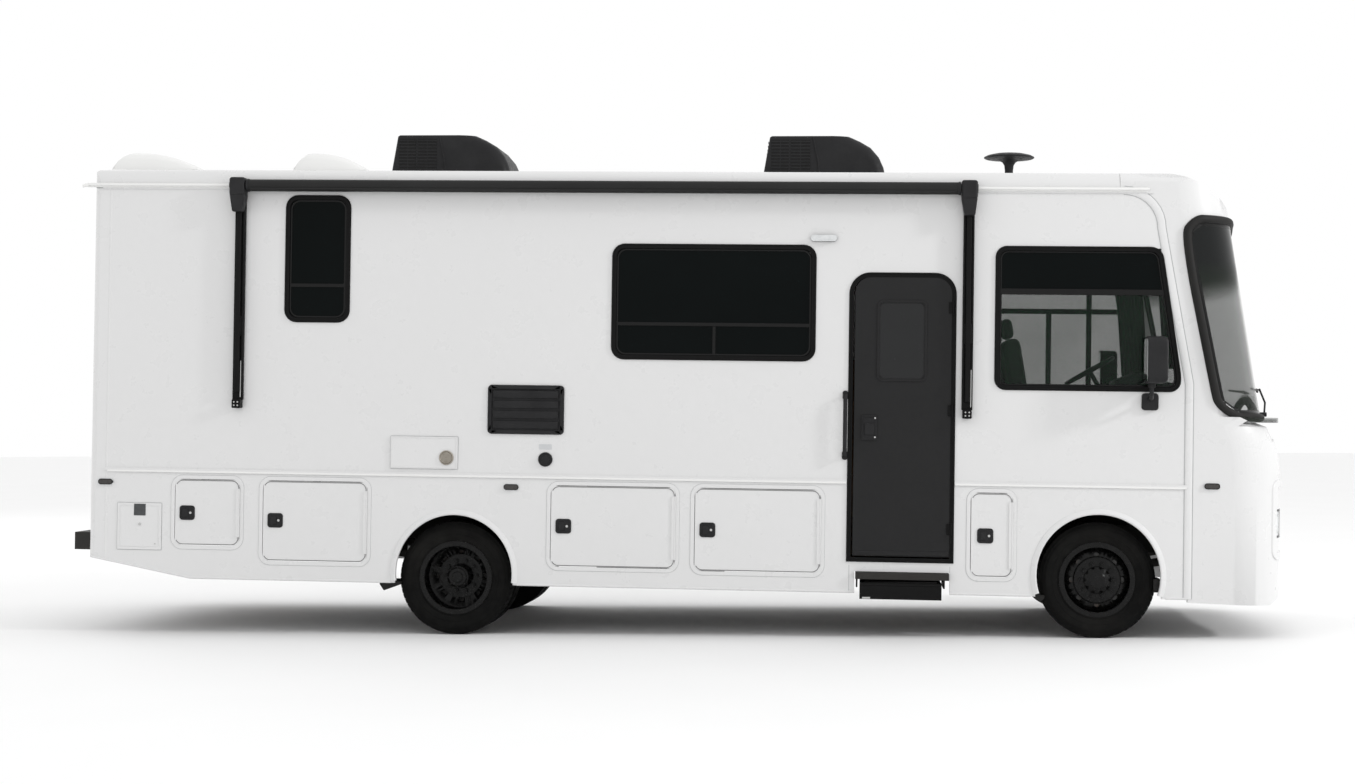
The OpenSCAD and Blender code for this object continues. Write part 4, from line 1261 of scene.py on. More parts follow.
class MOTORHOME_OT_nose(bpy.types.Operator):
    """Grille surround, slots, headlamps and plate on the nose"""

    bl_idname = "motorhome.nose"
    bl_label = "Nose"

    def execute(self, context):
        surround = Piece("grille_surround")
        outer = rect(-1.150, 0.640, 1.150, 1.195)
        surround.add(wrap_front(divided(ring(outer, 0.07, 0.050, -0.01, 0.012, 0.005), 40)))
        inner = rect(-0.620, 0.715, 0.620, 1.178)
        surround.add(wrap_front(divided(ring(inner, 0.05, 0.030, -0.01, 0.008, 0.003), 24)))
        surround.finish(white_gelcoat())
        mesh = Piece("grille_bars")
        for i in range(4):
            low = 0.760 + i * 0.105
            mesh.add(
                wrap_front(divided(plate(rect(-0.56, low, 0.56, low + 0.065), 0.0, -0.044, -0.030), 20))
            )
            for k in range(-14, 15):
                x = k * 0.038
                mesh.add(
                    wrap_front(plate(rect(x - 0.003, low, x + 0.003, low + 0.065), 0.0, -0.034, -0.010))
                )
        mesh.finish(black_plastic())
        lamps = Piece("headlamp_rims")
        glow = Piece("headlamp_reflectors")
        for side in SIDES:
            y = side * 0.940
            frame_outline = rect(y - 0.172, 0.793, y + 0.172, 0.992)
            lamps.add(wrap_front(divided(ring(frame_outline, 0.03, 0.016, -0.012, 0.006, 0.003), 16)))
            for offset in (-0.075, 0.075):
                spot = turned(
                    ((0.0, -0.045), (0.03, -0.040), (0.055, -0.020), (0.066, -0.002), (0.068, 0.0)), 32
                )
                spot.transform(Matrix.Translation((y + offset, 0.0, 0.892)))
                glow.add(wrap_front(spot), close=False)
        lamps.finish(black_gloss())
        shown = glow.finish(chrome())
        shown.modifiers.new("sheet", "SOLIDIFY").thickness = 0.002
        return {"FINISHED"}


# ------------------------------------------------------------------ entry door and step
def arched(x0, z0, x1, z1, radius, foot=0.0, steps=10):
    """An upright outline with round upper corners and a small radius below."""
    part = bmesh.new()
    verts = [part.verts.new((x, 0.0, z)) for x, z in rect(x0, z0, x1, z1)]
    part.faces.new(verts)
    upper = [v for v in part.verts if v.co.z > (z0 + z1) / 2]
    lower = [v for v in part.verts if v.co.z < (z0 + z1) / 2]
    rounded(part, upper, radius, steps, "VERTICES")
    return rounded(part, lower, foot, steps, "VERTICES")


def arched_ring(x0, z0, x1, z1, radius, width, inner, outer, rounding):
    """A frame with round upper corners."""
    part = rim_band(arched(x0, z0, x1, z1, radius), width)
    return round_rim(thicken(part, inner, outer), outer, rounding)


class MOTORHOME_OT_entry(bpy.types.Operator):
    """Entry door with its frame, lock, hinges and grab handle"""

    bl_idname = "motorhome.entry"
    bl_label = "Entry Door"

    def execute(self, context):
        seat = on_side(RIGHT)
        frames = Piece("entry_door_surround")
        frames.add(arched_ring(*DOOR, 0.150, 0.032, -0.048, 0.008, 0.004), seat)
        frames.add(arched_ring(*door_grown(-0.004), 0.146, 0.010, 0.007, 0.0125, 0.003), seat)
        frames.add(arched_ring(*door_grown(-0.024), 0.126, 0.008, 0.006, 0.0115, 0.002), seat)
        frames.finish(black_powder_coat(), replaces=("entry_door_frame",))

        handle = Piece("grab_handle")
        x = DOOR[0] - 0.018
        grip = [(x, -0.045, 1.320), (x, -0.052, 1.40), (x, -0.052, 1.67), (x, -0.045, 1.750)]
        handle.add(bead(grip, 0.0145, sides=5), seat)
        for z in (1.325, 1.745):
            handle.add(bead([(x, -0.050, z), (x, -0.026, z), (x, 0.0, z)], 0.0115, sides=4), seat)
            foot = rect(x - 0.020, z - 0.032, x + 0.020, z + 0.032)
            handle.add(plate(foot, 0.016, 0.0, 0.010, 0.004), seat)
            for dz in (-0.021, 0.021):
                handle.add(rod((x, -0.009, z + dz), (x, -0.0125, z + dz), 0.0045, sides=12), seat)
        handle.finish(black_plastic())

        slab = Piece("entry_door_skin")
        door_part = arched(*SLAB, 0.110)
        thicken(door_part, SLAB_FACE - 0.045, SLAB_FACE)
        slab.add(round_rim(door_part, SLAB_FACE, 0.006, 3), seat)
        slab.finish(door_skin(), "entry_door", ("entry_door",))

        window = rect(2.988, 1.866, 3.296, 2.394)
        trim = Piece("entry_door_window_frame")
        outer = inset(window, -0.020)
        trim.add(ring(outer, 0.045, 0.016, SLAB_FACE - 0.001, SLAB_FACE + 0.007, 0.003), seat)
        trim.add(
            ring(inset(window, -0.005), 0.036, 0.007, SLAB_FACE - 0.001, SLAB_FACE + 0.005, 0.002), seat
        )
        bottom = rect(SLAB[0] + 0.012, SLAB[1] + 0.008, SLAB[2] - 0.012, SLAB[1] + 0.040)
        trim.add(plate(bottom, 0.004, SLAB_FACE, SLAB_FACE + 0.004, 0.002), seat)
        trim.finish(door_skin(), "entry_door")
        pane = Piece("entry_door_pane")
        pane.add(plate(window, 0.040, SLAB_FACE - 0.004, SLAB_FACE + 0.002, 0.001), seat)
        pane.finish(door_glass(), "entry_door")

        lock = Piece("entry_door_lock")
        x0, x1 = 2.866, 2.976
        case = rect(x0, 1.434, x1, 1.608)
        lock.add(plate(case, 0.014, SLAB_FACE, SLAB_FACE + 0.012, 0.004), seat)
        lock.add(ring(inset(case, 0.010), 0.010, 0.006, SLAB_FACE + 0.011, SLAB_FACE + 0.016, 0.002), seat)
        paddle = rect(x0 + 0.024, 1.470, x1 - 0.016, 1.552)
        lock.add(plate(paddle, 0.008, SLAB_FACE + 0.010, SLAB_FACE + 0.022, 0.004), seat)
        lock.finish(black_plastic(), "entry_door")
        keys = Piece("entry_door_keyholes")
        for z in (1.588, 1.454):
            low, high = (2.962, -SLAB_FACE - 0.010, z), (2.962, -SLAB_FACE - 0.0175, z)
            keys.add(rod(low, high, 0.0065, rounding=0.0015), seat)
        keys.finish(satin_metal(), "entry_door")

        hinges = Piece("entry_door_hinges")
        pin = (SLAB[2] + 0.006, -0.018)
        for z in (SLAB[1] + 0.150, (SLAB[1] + SLAB[3]) / 2, SLAB[3] - 0.260):
            hinges.add(
                rod((pin[0], pin[1], z), (pin[0], pin[1], z + 0.090), 0.0072, sides=20, rounding=0.0015),
                seat,
            )
            for k in (0.030, 0.060):
                hinges.add(
                    rod((pin[0], pin[1], z + k - 0.001), (pin[0], pin[1], z + k + 0.001), 0.0078, sides=20),
                    seat,
                )
            leaf = rect(pin[0] - 0.032, z + 0.004, pin[0], z + 0.086)
            hinges.add(plate(leaf, 0.004, SLAB_FACE, SLAB_FACE + 0.006, 0.0015), seat)
            for dx, dz in ((-0.020, 0.020), (-0.020, 0.070)):
                place = (pin[0] + dx, -SLAB_FACE - 0.005, z + dz)
                hinges.add(rod(place, (place[0], place[1] - 0.003, place[2]), 0.0045, sides=12), seat)
        hinges.finish(black_powder_coat(), "entry_door")

        inside = Piece("entry_door_lining")
        back_face = SLAB_FACE - 0.045
        inside.add(plate(inset(window, -0.030), 0.050, back_face - 0.008, back_face, 0.0), seat)
        inside.add(plate(rect(2.870, 1.430, 2.980, 1.612), 0.012, back_face - 0.014, back_face, 0.0), seat)
        inside.add(plate(rect(2.880, 0.780, 3.420, 1.300), 0.030, back_face - 0.006, back_face, 0.0), seat)
        inside.finish(grey_plastic(), "entry_door")
        return {"FINISHED"}


def door_grown(by):
    """The door frame's box grown by a distance, or shrunk by a negative one."""
    return (DOOR[0] - by, DOOR[1] - by, DOOR[2] + by, DOOR[3] + by)


@finish_of()
def door_glass(shader):
    paint(shader, (0.014, 0.0145, 0.015), 0.22, 0.10, 300.0, 0.00001, 0.0, 6.0, 0.25)


class MOTORHOME_OT_step(bpy.types.Operator):
    """Sliding entry step and its housing"""

    bl_idname = "motorhome.step"
    bl_label = "Entry Step"

    def execute(self, context):
        softened("step_housing", chassis_paint(), 0.003)
        softened("entry_step", black_powder_coat(), 0.003)
        low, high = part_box("entry_step")
        tread = Piece("entry_step_tread", WORLD)
        top = high.z
        for i in range(9):
            y = low.y + 0.030 + i * 0.030
            start, end = (low.x + 0.03, y, top - 0.012), (high.x - 0.03, y + 0.012, top + 0.002)
            tread.add(block(start, end, 0.0015))
        tread.finish(rubber(), "entry_step")
        nose_strip = Piece("entry_step_front", WORLD)
        nose_strip.add(
            block(
                (low.x + 0.02, low.y - 0.001, low.z + 0.012), (low.x + 0.075, low.y + 0.002, low.z + 0.024)
            )
        )
        nose_strip.finish(satin_metal(), "entry_step")
        return {"FINISHED"}


# ------------------------------------------------------------------ luggage doors
def latch_on(piece, keys, x, z, seat):
    """A black paddle latch with a round key."""
    case = rect(x - 0.056, z - 0.052, x + 0.056, z + 0.052)
    piece.add(plate(case, 0.022, 0.004, 0.012, 0.004), seat)
    piece.add(ring(inset(case, 0.012), 0.014, 0.005, 0.011, 0.014, 0.002), seat)
    paddle = rect(x - 0.034, z - 0.030, x + 0.010, z + 0.030)
    piece.add(plate(paddle, 0.008, 0.010, 0.017, 0.003), seat)
    keys.add(rod((x + 0.026, -0.010, z), (x + 0.026, -0.0155, z), 0.009, rounding=0.0015), seat)
    keys.add(block((x + 0.0248, -0.0162, z - 0.005), (x + 0.0272, -0.015, z + 0.005)), seat)


class MOTORHOME_OT_lockers(bpy.types.Operator):
    """Luggage doors with frames, latches and a line of painted shade along each door gap"""

    bl_idname = "motorhome.lockers"
    bl_label = "Luggage Doors"

    def execute(self, context):
        flange = sizes().locker_flange
        frames = Piece("locker_flanges")
        lines = Piece("locker_flange_seals")
        for side in SIDES:
            seat = on_side(side)
            for number, (x0, x1, z0) in enumerate(LOCKERS):
                if side == LEFT and number not in LEFT_LOCKERS:
                    continue
                outline = rect(x0, z0, x1, LOCKER_TOP)
                outer = inset(outline, -flange - 0.004)
                frames.add(ring(outer, 0.056 + flange, flange, -0.004, 0.0035, 0.002), seat)
                lines.add(bead(outline_points(outer, 0.056 + flange, 0.0006, 8), 0.0018, True, 1), seat)
                self.door(side, number, x0, x1, z0)
        frames.finish(white_gelcoat())
        lines.finish(sealant())
        return {"FINISHED"}

    def door(self, side, number, x0, x1, z0):
        """One door with its latch and a dark grey line along its top, front and bottom: the gap there is
        real, the line's darkness is painted shade.
        """
        if side == RIGHT:
            node = f"locker_door_right_{number + 1}"
        else:
            node = f"locker_door_left_{LEFT_LOCKERS.index(number) + 1}"
        seat = on_side(side)
        softened(node, white_gelcoat(), 0.003)
        line = inset(rect(x0, z0, x1, LOCKER_TOP), 0.005)
        points = outline_points(line, 0.050, 0.0042, 10)
        # painted shade: a dark line along the top, front and bottom of the door gap, left out at the rear
        # edge, following how the light falls
        trim = Piece(node + "_edge")
        trim.add(bead(ordered(points, x0), 0.0028, False, 1), seat)
        trim.finish(door_gap_painted_shade(), node)
        latch = Piece(node + "_latch")
        keys = Piece(node + "_key")
        width = 0.098 if x1 - x0 < 0.4 else 0.089
        latch_on(latch, keys, x0 + width, LOCKER_LATCHES[number], seat)
        latch.finish(black_plastic(), node)
        keys.finish(satin_metal(), node)


def ordered(points, start_x):
    """Open path round an outline that leaves out its rear edge."""
    rear = [i for i, p in enumerate(points) if p[0] < start_x + 0.008]
    first = max(rear) if max(rear) - min(rear) < len(points) / 2 else min(
        i for i in rear if i > len(points) / 2
    )
    turned_round = points[first:] + points[:first]
    return [p for p in turned_round if p[0] > start_x + 0.008]


# ------------------------------------------------------------------ wall fittings
WATER_HEATER = rect(-0.476, 1.182, 0.010, 1.412)


class MOTORHOME_OT_fittings(bpy.types.Operator):
    """Vents, hatches, sockets and labels on the side walls"""

    bl_idname = "motorhome.fittings"
    bl_label = "Wall Fittings"

    def execute(self, context):
        seat = on_side(RIGHT)
        vent = Piece("refrigerator_vent")
        outline = rect(0.221, 1.438, 0.768, 1.787)
        vent.add(ring(outline, 0.030, 0.030, 0.0, 0.014, 0.005), seat)
        vent.add(plate(inset(outline, 0.020), 0.015, 0.0, 0.003), seat)
        for i in range(4):
            z = 1.480 + i * 0.072
            slat = block((0.262, -0.013, z), (0.727, -0.003, z + 0.052), 0.003)
            slat.transform(
                Matrix.Translation((0, -0.008, z)) @ turn_by(9, "X") @ Matrix.Translation((0, 0.008, -z))
            )
            vent.add(slat, seat)
        for x in (0.240, 0.749):
            vent.add(rod((x, -0.010, 1.612), (x, -0.017, 1.612), 0.009, rounding=0.002), seat)
        vent.finish(black_plastic())

        heater = Piece("water_heater_door")
        outline = WATER_HEATER
        heater.add(plate(outline, 0.008, 0.0, 0.012, 0.003), seat)
        heater.add(ring(inset(outline, 0.007), 0.006, 0.005, 0.011, 0.0145, 0.001), seat)
        heater.finish(white_gelcoat())
        flue = Piece("water_heater_flue")
        place = seat @ Matrix.Translation((-0.070, 0.0, 1.263))
        flue.add(
            turned(((0.052, 0.012), (0.052, 0.020), (0.046, 0.023), (0.040, 0.018), (0.0, 0.017)), 40),
            place, False,
        )
        for i in range(5):
            z = -0.028 + i * 0.014
            half = math.sqrt(0.040**2 - z * z) - 0.003
            flue.add(block((-half, -0.026, z - 0.0022), (half, -0.018, z + 0.0022), 0.001), place)
        flue.finish(pipe_steel())

        socket = Piece("cable_socket")
        place = seat @ Matrix.Translation((0.639, 0.0, 1.262))
        profile = (
            (0.051, 0.0), (0.051, 0.010), (0.046, 0.014), (0.036, 0.015), (0.033, 0.022), (0.010, 0.026),
            (0.0, 0.026),
        )
        socket.add(turned(profile, 36), place, False)
        for k in range(8):
            a = math.tau * k / 8
            x, z = 0.034 * math.cos(a), 0.034 * math.sin(a)
            socket.add(rod((x, -0.014, z), (x, -0.024, z), 0.004, sides=8), place)
        socket.finish(black_plastic())
        label = Piece("socket_label")
        label.add(plate(rect(0.592, 1.332, 0.684, 1.370), 0.004, 0.0, 0.0012, 0.0004), seat)
        label.finish(blank_plate())

        hatch = Piece("utility_hatch")
        outline = rect(-2.471, 0.567, -2.145, 0.903)
        hatch.add(plate(outline, 0.006, 0.0, 0.006, 0.002), seat)
        hatch.add(ring(inset(outline, 0.020), 0.006, 0.003, 0.005, 0.008, 0.001), seat)
        hatch.finish(white_gelcoat())
        edge = Piece("utility_hatch_seal")
        edge.add(bead(outline_points(inset(outline, -0.002), 0.006, 0.0008, 2), 0.0014, True, 1), seat)
        edge.add(bead(outline_points(inset(WATER_HEATER, -0.002), 0.006, 0.0008, 2), 0.0016, True, 1), seat)
        edge.finish(sealant())
        plate_piece = Piece("utility_hatch_label")
        plate_piece.add(plate(rect(-2.348, 0.812, -2.262, 0.896), 0.003, 0.006, 0.0085, 0.0008), seat)
        plate_piece.finish(dark_label())
        key = Piece("utility_hatch_key")
        key.add(rod((-2.304, -0.006, 0.750), (-2.304, -0.011, 0.750), 0.010, rounding=0.0015), seat)
        key.add(rod((-2.190, -0.006, 0.610), (-2.190, -0.009, 0.610), 0.005, sides=12), seat)
        key.finish(satin_metal())

        left = on_side(LEFT)
        fuel = Piece("fuel_door")
        fuel.add(ring(rect(3.690, 0.700, 3.880, 0.890), 0.030, 0.018, 0.0, 0.008, 0.003), left)
        fuel.add(plate(rect(3.704, 0.714, 3.866, 0.876), 0.022, 0.0, 0.006, 0.002), left)
        fuel.finish(black_plastic())
        outlet = Piece("furnace_vent")
        outlet.add(plate(rect(-0.300, 1.240, 0.060, 1.400), 0.012, 0.0, 0.008, 0.003), left)
        for k in range(5):
            outlet.add(
                block((-0.270, -0.014, 1.262 + k * 0.025), (0.030, -0.006, 1.274 + k * 0.025), 0.002), left
            )
        outlet.finish(black_plastic())
        return {"FINISHED"}


# ------------------------------------------------------------------ lamps
class MOTORHOME_OT_lamps(bpy.types.Operator):
    """Marker, porch and tail lamps and the headlamp lenses"""

    bl_idname = "motorhome.lamps"
    bl_label = "Lamps"

    def execute(self, context):
        dress("lamps", clear_lens())
        bodies = Piece("marker_bezels")
        rear = Piece("marker_lenses_rear")
        front = Piece("marker_lenses_front")
        shell = Piece("marker_lenses_middle")
        for side in SIDES:
            seat = on_side(side)
            for x, z, target in ((-2.618, 1.052, rear), (0.342, 1.062, shell), (5.223, 1.150, front)):
                outline = rect(x, z - 0.023, x + 0.112, z + 0.023)
                bodies.add(ring(inset(outline, 0.002), 0.020, 0.006, 0.0, 0.016, 0.003, 6), seat)
                lens_part = plate(inset(outline, 0.006), 0.0165, 0.0, 0.018, 0.006, 6)
                target.add(lens_part, seat)
        bodies.finish(black_gloss())
        rear.finish(smoked_lens())
        front.finish(smoked_lens())
        shell.finish(smoked_lens())

        porch = Piece("porch_lamp_body")
        outline = rect(2.497, 2.821, 2.681, 2.867)
        porch.add(plate(outline, 0.022, 0.0, 0.016, 0.004), on_side(RIGHT))
        porch.finish(black_plastic())
        glass = Piece("porch_lamp_lens")
        glass.add(plate(inset(outline, 0.009), 0.013, 0.012, 0.032, 0.007, 6), on_side(RIGHT))
        glass.finish(clear_lens())

        tails = Piece("tail_lamp_bezels")
        red = Piece("tail_lamp_lenses")
        turn = Piece("turn_lamp_lenses")
        for side in SIDES:
            y = side * 1.0625
            outline = rect(y - 0.075, 0.760, y + 0.075, 1.080)
            tails.add(ring(inset(outline, -0.003), 0.020, 0.014, -0.004, 0.012, 0.004), ON_BACK)
            red.add(plate(rect(y - 0.063, 0.880, y + 0.063, 1.068), 0.012, 0.0, 0.010, 0.004), ON_BACK)
            turn.add(plate(rect(y - 0.063, 0.772, y + 0.063, 0.872), 0.012, 0.0, 0.010, 0.004), ON_BACK)
        tails.finish(black_plastic())
        red.finish(red_lens())
        turn.finish(amber_lens())
        number = Piece("blank_number_plate")
        number.add(plate(rect(-0.152, 0.840, 0.152, 0.992), 0.012, 0.0, 0.006, 0.002), ON_BACK)
        number.finish(blank_plate())
        return {"FINISHED"}


# ------------------------------------------------------------------ roof
AIR_CONDITIONERS = (-0.721, FRONT_AXLE - 2.400)
VENT_COVERS = ((BACK + 0.060, 0.640), (-1.275, 0.530))
VENT_CENTRE = -(SKIN - 0.440)


class MOTORHOME_OT_roof(bpy.types.Operator):
    """Air conditioners, vent covers and antenna"""

    bl_idname = "motorhome.roof"
    bl_label = "Roof Fittings"

    def execute(self, context):
        shrouds = Piece("air_conditioner_shrouds")
        grilles = Piece("air_conditioner_louvres")
        for x in AIR_CONDITIONERS:
            self.air_conditioner(shrouds, grilles, x)
        shrouds.finish(black_plastic(), replaces=("roof_air_conditioners",))
        grilles.finish(black_gloss())
        self.vent_covers()
        self.antenna()
        return {"FINISHED"}

    def air_conditioner(self, shrouds, grilles, x0):
        """One shroud with a round nose and louvres along its rear part."""
        top = 0.376
        side = (
            (0.014, 0.015), (0.0, 0.110), (0.042, top - 0.010), (0.058, top), (0.640, top), (
                0.716, top - 0.034
            ),
            (0.795, top - 0.080), (0.858, 0.224), (0.893, 0.147), (0.905, 0.090), (0.905, 0.015),
        )
        shell = bmesh.new()
        shell.faces.new([shell.verts.new((x0 + x, 0.330, ROOF + z)) for x, z in side])
        pushed(shell, -0.660)
        for from_x, to_x, by in ((0.639, 1.0, 0.075), (-1.0, 0.641, 0.020)):
            rims = [
                e for e in shell.edges
                if all(abs(abs(v.co.y) - 0.330) < 1e-5 and from_x <= v.co.x - x0 <= to_x for v in e.verts)
                and min(v.co.z for v in e.verts) < ROOF + top + 1e-4
                and abs(e.verts[0].co.z + e.verts[1].co.z - 2 * ROOF - 0.030) > 1e-4
                and e.calc_face_angle(0.0) > math.radians(60)
            ]
            rounded(shell, rims, by, 5)
        shrouds.add(shell)
        shrouds.add(block((x0 + 0.004, -0.334, ROOF + 0.002), (x0 + 0.830, 0.334, ROOF + 0.026), 0.006))
        for side_y in (-1, 1):
            y = side_y * 0.3305
            for start, end in ((0.055, 0.185), (0.200, 0.345)):
                back = (x0 + start, y - 0.0012, ROOF + 0.050)
                grilles.add(block(back, (x0 + end, y + 0.0012, ROOF + top - 0.030), 0.0004))
                for i in range(12):
                    z = ROOF + 0.058 + i * 0.0245
                    shrouds.add(block((x0 + start, y - 0.005, z), (x0 + end, y + 0.005, z + 0.011), 0.002))
            for x in (0.120, 0.270):
                post = (x0 + x, y - 0.004, ROOF + 0.052)
                shrouds.add(block(post, (x0 + x + 0.006, y + 0.004, ROOF + top - 0.032), 0.001))
            rib = [
                (x0 + 0.366, y, ROOF + top - 0.012), (x0 + 0.408, y, ROOF + 0.170),
                (x0 + 0.412, y, ROOF + 0.050),
            ]
            shrouds.add(bead(rib, 0.007))
        for i in range(9):
            z = ROOF + 0.085 + i * 0.030
            shrouds.add(block((x0 + (i * 0.030) * 0.12, -0.270, z), (x0 + 0.030, 0.270, z + 0.014), 0.002))

    def vent_covers(self):
        """Two rounded covers with a steep rear face and a long slope to the front."""
        width, height, crest = 0.480, 0.155, 0.110
        piece = Piece("vent_covers")
        for x0, length in VENT_COVERS:
            cover = bmesh.new()
            bmesh.ops.create_grid(cover, x_segments=48, y_segments=24, size=0.5)
            for vert in cover.verts:
                u, v = vert.co.x + 0.5, vert.co.y * 2
                along = u * length
                rise = math.sqrt(max(0.0, 1 - (1 - min(1.0, along / crest)) ** 2))
                fall = 1 - max(0.0, (along - crest) / (length - crest)) ** 2.4
                across = max(0.0, 1 - abs(v) ** 4.5) ** 0.55
                vert.co = Vector((
                    x0 + u * length,
                    VENT_CENTRE + v * width / 2,
                    ROOF + 0.020 + (height - 0.020) * rise * fall * across,
                ))
            base = bmesh.ops.extrude_edge_only(cover, edges=[e for e in cover.edges if e.is_boundary])
            moved = [g for g in base["geom"] if isinstance(g, bmesh.types.BMVert)]
            for vert in moved:
                vert.co.z = ROOF - 0.001
            bmesh.ops.holes_fill(cover, edges=[e for e in cover.edges if e.is_boundary], sides=0)
            piece.add(cover)
            outline = block(
                (x0 - 0.004, VENT_CENTRE - width / 2 - 0.012, ROOF - 0.002),
                (x0 + length + 0.004, VENT_CENTRE + width / 2 + 0.012, ROOF + 0.010), 0.004,
            )
            piece.add(outline)
        piece.finish(white_plastic(), replaces=("roof_vent_covers",), smooth=50)

    def antenna(self):
        """Round antenna head on a short stem."""
        place = Matrix.Translation((FRONT_AXLE - 0.559, 0.0, ROOF)) @ turn_by(90, "X")
        head = Piece("antenna_head")
        profile = (
            (0.0, 0.292), (0.060, 0.291), (0.120, 0.284), (0.165, 0.273), (0.187, 0.262), (0.1895, 0.256),
            (0.180, 0.250), (0.120, 0.243), (0.070, 0.234), (0.050, 0.222), (0.036, 0.200), (0.031, 0.160),
            (0.031, 0.080), (0.042, 0.050), (0.060, 0.034), (0.085, 0.026), (0.090, 0.012), (0.090, 0.0),
        )
        head.add(turned([(r, -z) for r, z in profile], 48), place, False)
        head.finish(black_plastic(), replaces=("roof_antenna",))


# ------------------------------------------------------------------ awning
class MOTORHOME_OT_awning(bpy.types.Operator):
    """Rolled awning with its heads and arms"""

    bl_idname = "motorhome.awning"
    bl_label = "Awning"

    def execute(self, context):
        seat = on_side(RIGHT)
        x0, x1, out = -1.524, 3.5222, 0.066
        centre = (-out, DRIP)
        roll = Piece("awning_roll")
        tube = rod((x0, centre[0], DRIP), (x1, centre[0], DRIP), 0.043, sides=40, rounding=0.002)
        roll.add(tube, seat)
        lead = rod(
            (x0 + 0.02, -out - 0.038, DRIP - 0.026), (x1 - 0.02, -out - 0.038, DRIP - 0.026), 0.008,
            sides=14,
        )
        roll.add(lead, seat)
        flap = plate(rect(x0 + 0.02, DRIP - 0.002, x1 - 0.02, DRIP + 0.040), 0.004, 0.002, 0.024, 0.003)
        roll.add(flap, seat)
        roll.finish(awning_cloth(), replaces=("awning_roller",))
        heads = Piece("awning_heads")
        for start in (x0 - 0.132, x1 + 0.016):
            low, high = (start, -0.116, DRIP - 0.075), (start + 0.112, -0.009, DRIP + 0.056)
            heads.add(block(low, high, 0.018, 4), seat)
            taper = block((start, -0.108, DRIP - 0.190), (start + 0.112, -0.009, DRIP - 0.060), 0.010, 3)
            for vert in taper.verts:
                drop = (DRIP - 0.060 - vert.co.z) / 0.130
                vert.co.x += (start + 0.064 - vert.co.x) * 0.34 * max(0.0, drop)
            heads.add(taper, seat)
            cap = start if start < 0 else start + 0.112
            heads.add(
                rod((cap - 0.004, -out, DRIP), (cap + 0.004, -out, DRIP), 0.034, sides=28, rounding=0.002),
                seat,
            )
        for x in (x0 - 0.012, x1 - 0.004):
            heads.add(rod((x, -out, DRIP), (x + 0.016, -out, DRIP), 0.047, sides=36, rounding=0.003), seat)
        heads.finish(black_plastic())

        arms = Piece("awning_arm_channels", BODY)
        bolts = Piece("awning_arm_bolts")
        for start, foot in ((x0 - 0.106, 1.655), (x1 + 0.036, 1.652)):
            top = DRIP - 0.120
            arms.add(block((start, -0.034, foot), (start + 0.076, -0.004, top), 0.004), seat)
            for edge in (start + 0.004, start + 0.060):
                arms.add(block((edge, -0.046, foot + 0.05), (edge + 0.012, -0.030, top), 0.003), seat)
            arms.add(
                block((start + 0.020, -0.068, foot + 0.055), (start + 0.056, -0.038, top), 0.006, 3), seat
            )
            low, high = (start + 0.006, -0.074, foot - 0.060), (start + 0.070, -0.002, foot + 0.004)
            arms.add(block(low, high, 0.008, 3), seat)
            arms.add(
                block((start + 0.012, -0.060, foot + 0.46), (start + 0.064, -0.030, foot + 0.60), 0.006),
                seat,
            )
            for z in (foot - 0.040, foot - 0.016):
                bolts.add(rod((start + 0.026, -0.072, z), (start + 0.026, -0.079, z), 0.006, sides=6), seat)
                bolts.add(rod((start + 0.052, -0.072, z), (start + 0.052, -0.079, z), 0.006, sides=6), seat)
            strip = block((start + 0.060, -0.050, foot + 0.02), (start + 0.066, -0.046, foot + 0.28), 0.001)
            bolts.add(strip, seat)
        arms.finish(black_powder_coat(), replaces=("awning_arms",))
        bolts.finish(satin_metal())
        return {"FINISHED"}


@finish_of(Specular_IOR_Level=0.15)
def awning_cloth(shader):
    """Coated awning cloth, rolled tight."""
    turns = (shader.axis("X") * 3.0).wave()
    tone = shader.noise(6.0, 4.0, 0.6, (0.3, 1.0, 1.0))
    shader.colour(tone, (0.012, 0.012, 0.012), (0.028, 0.028, 0.028))
    shader.gloss(tone, 0.45, 0.65)
    fibres = shader.noise(900.0, 2.0)
    shader.bump(fibres * 0.5 + turns * 0.2, 0.3, 0.0003)


# ------------------------------------------------------------------ mirrors and bumper
class MOTORHOME_OT_mirrors(bpy.types.Operator):
    """Door mirrors with glass, and the rear bumper"""

    bl_idname = "motorhome.mirrors"
    bl_label = "Mirrors and Bumper"

    def execute(self, context):
        shells = Piece("mirror_shells")
        panes = Piece("mirror_panes")
        x0 = SEAM - 0.330
        for side in SIDES:
            seat = on_side(side)
            head = plate(rect(-0.104, 1.851, 0.104, 2.173), 0.045, -0.070, 0.070, 0.028, 6)
            round_rim(head, -0.070, 0.008)
            # the head's outline faces forward and back, so it is turned across the body
            turn = Matrix.Translation((x0 + 0.0825, -0.150, 0.0)) @ turn_by(90, "Z")
            shells.add(head, seat @ turn)
            pane = plate(rect(-0.090, 1.866, 0.090, 2.158), 0.034, -0.004, 0.002, 0.001)
            face = Matrix.Translation((x0 + 0.013, -0.150, 0.0)) @ turn_by(-90, "Z")
            panes.add(pane, seat @ face)
            foot = plate(rect(x0 + 0.004, 1.668, x0 + 0.118, 1.786), 0.022, 0.0, 0.028, 0.008)
            shells.add(foot, seat)
            stem = [
                (x0 + 0.060, -0.020, 1.745), (x0 + 0.060, -0.090, 1.748), (x0 + 0.056, -0.135, 1.775),
                (x0 + 0.052, -0.142, 1.870),
            ]
            shells.add(bead(stem, 0.015, sides=5), seat)
            low, high = (x0 + 0.055, -0.138, 1.822), (x0 + 0.055, -0.142, 1.862)
            shells.add(rod(low, high, 0.026, sides=24, rounding=0.004), seat)
        shells.finish(black_plastic(), replaces=("mirrors",))
        panes.finish(mirror_glass())
        softened("rear_bumper", chassis_paint(), 0.004)
        return {"FINISHED"}


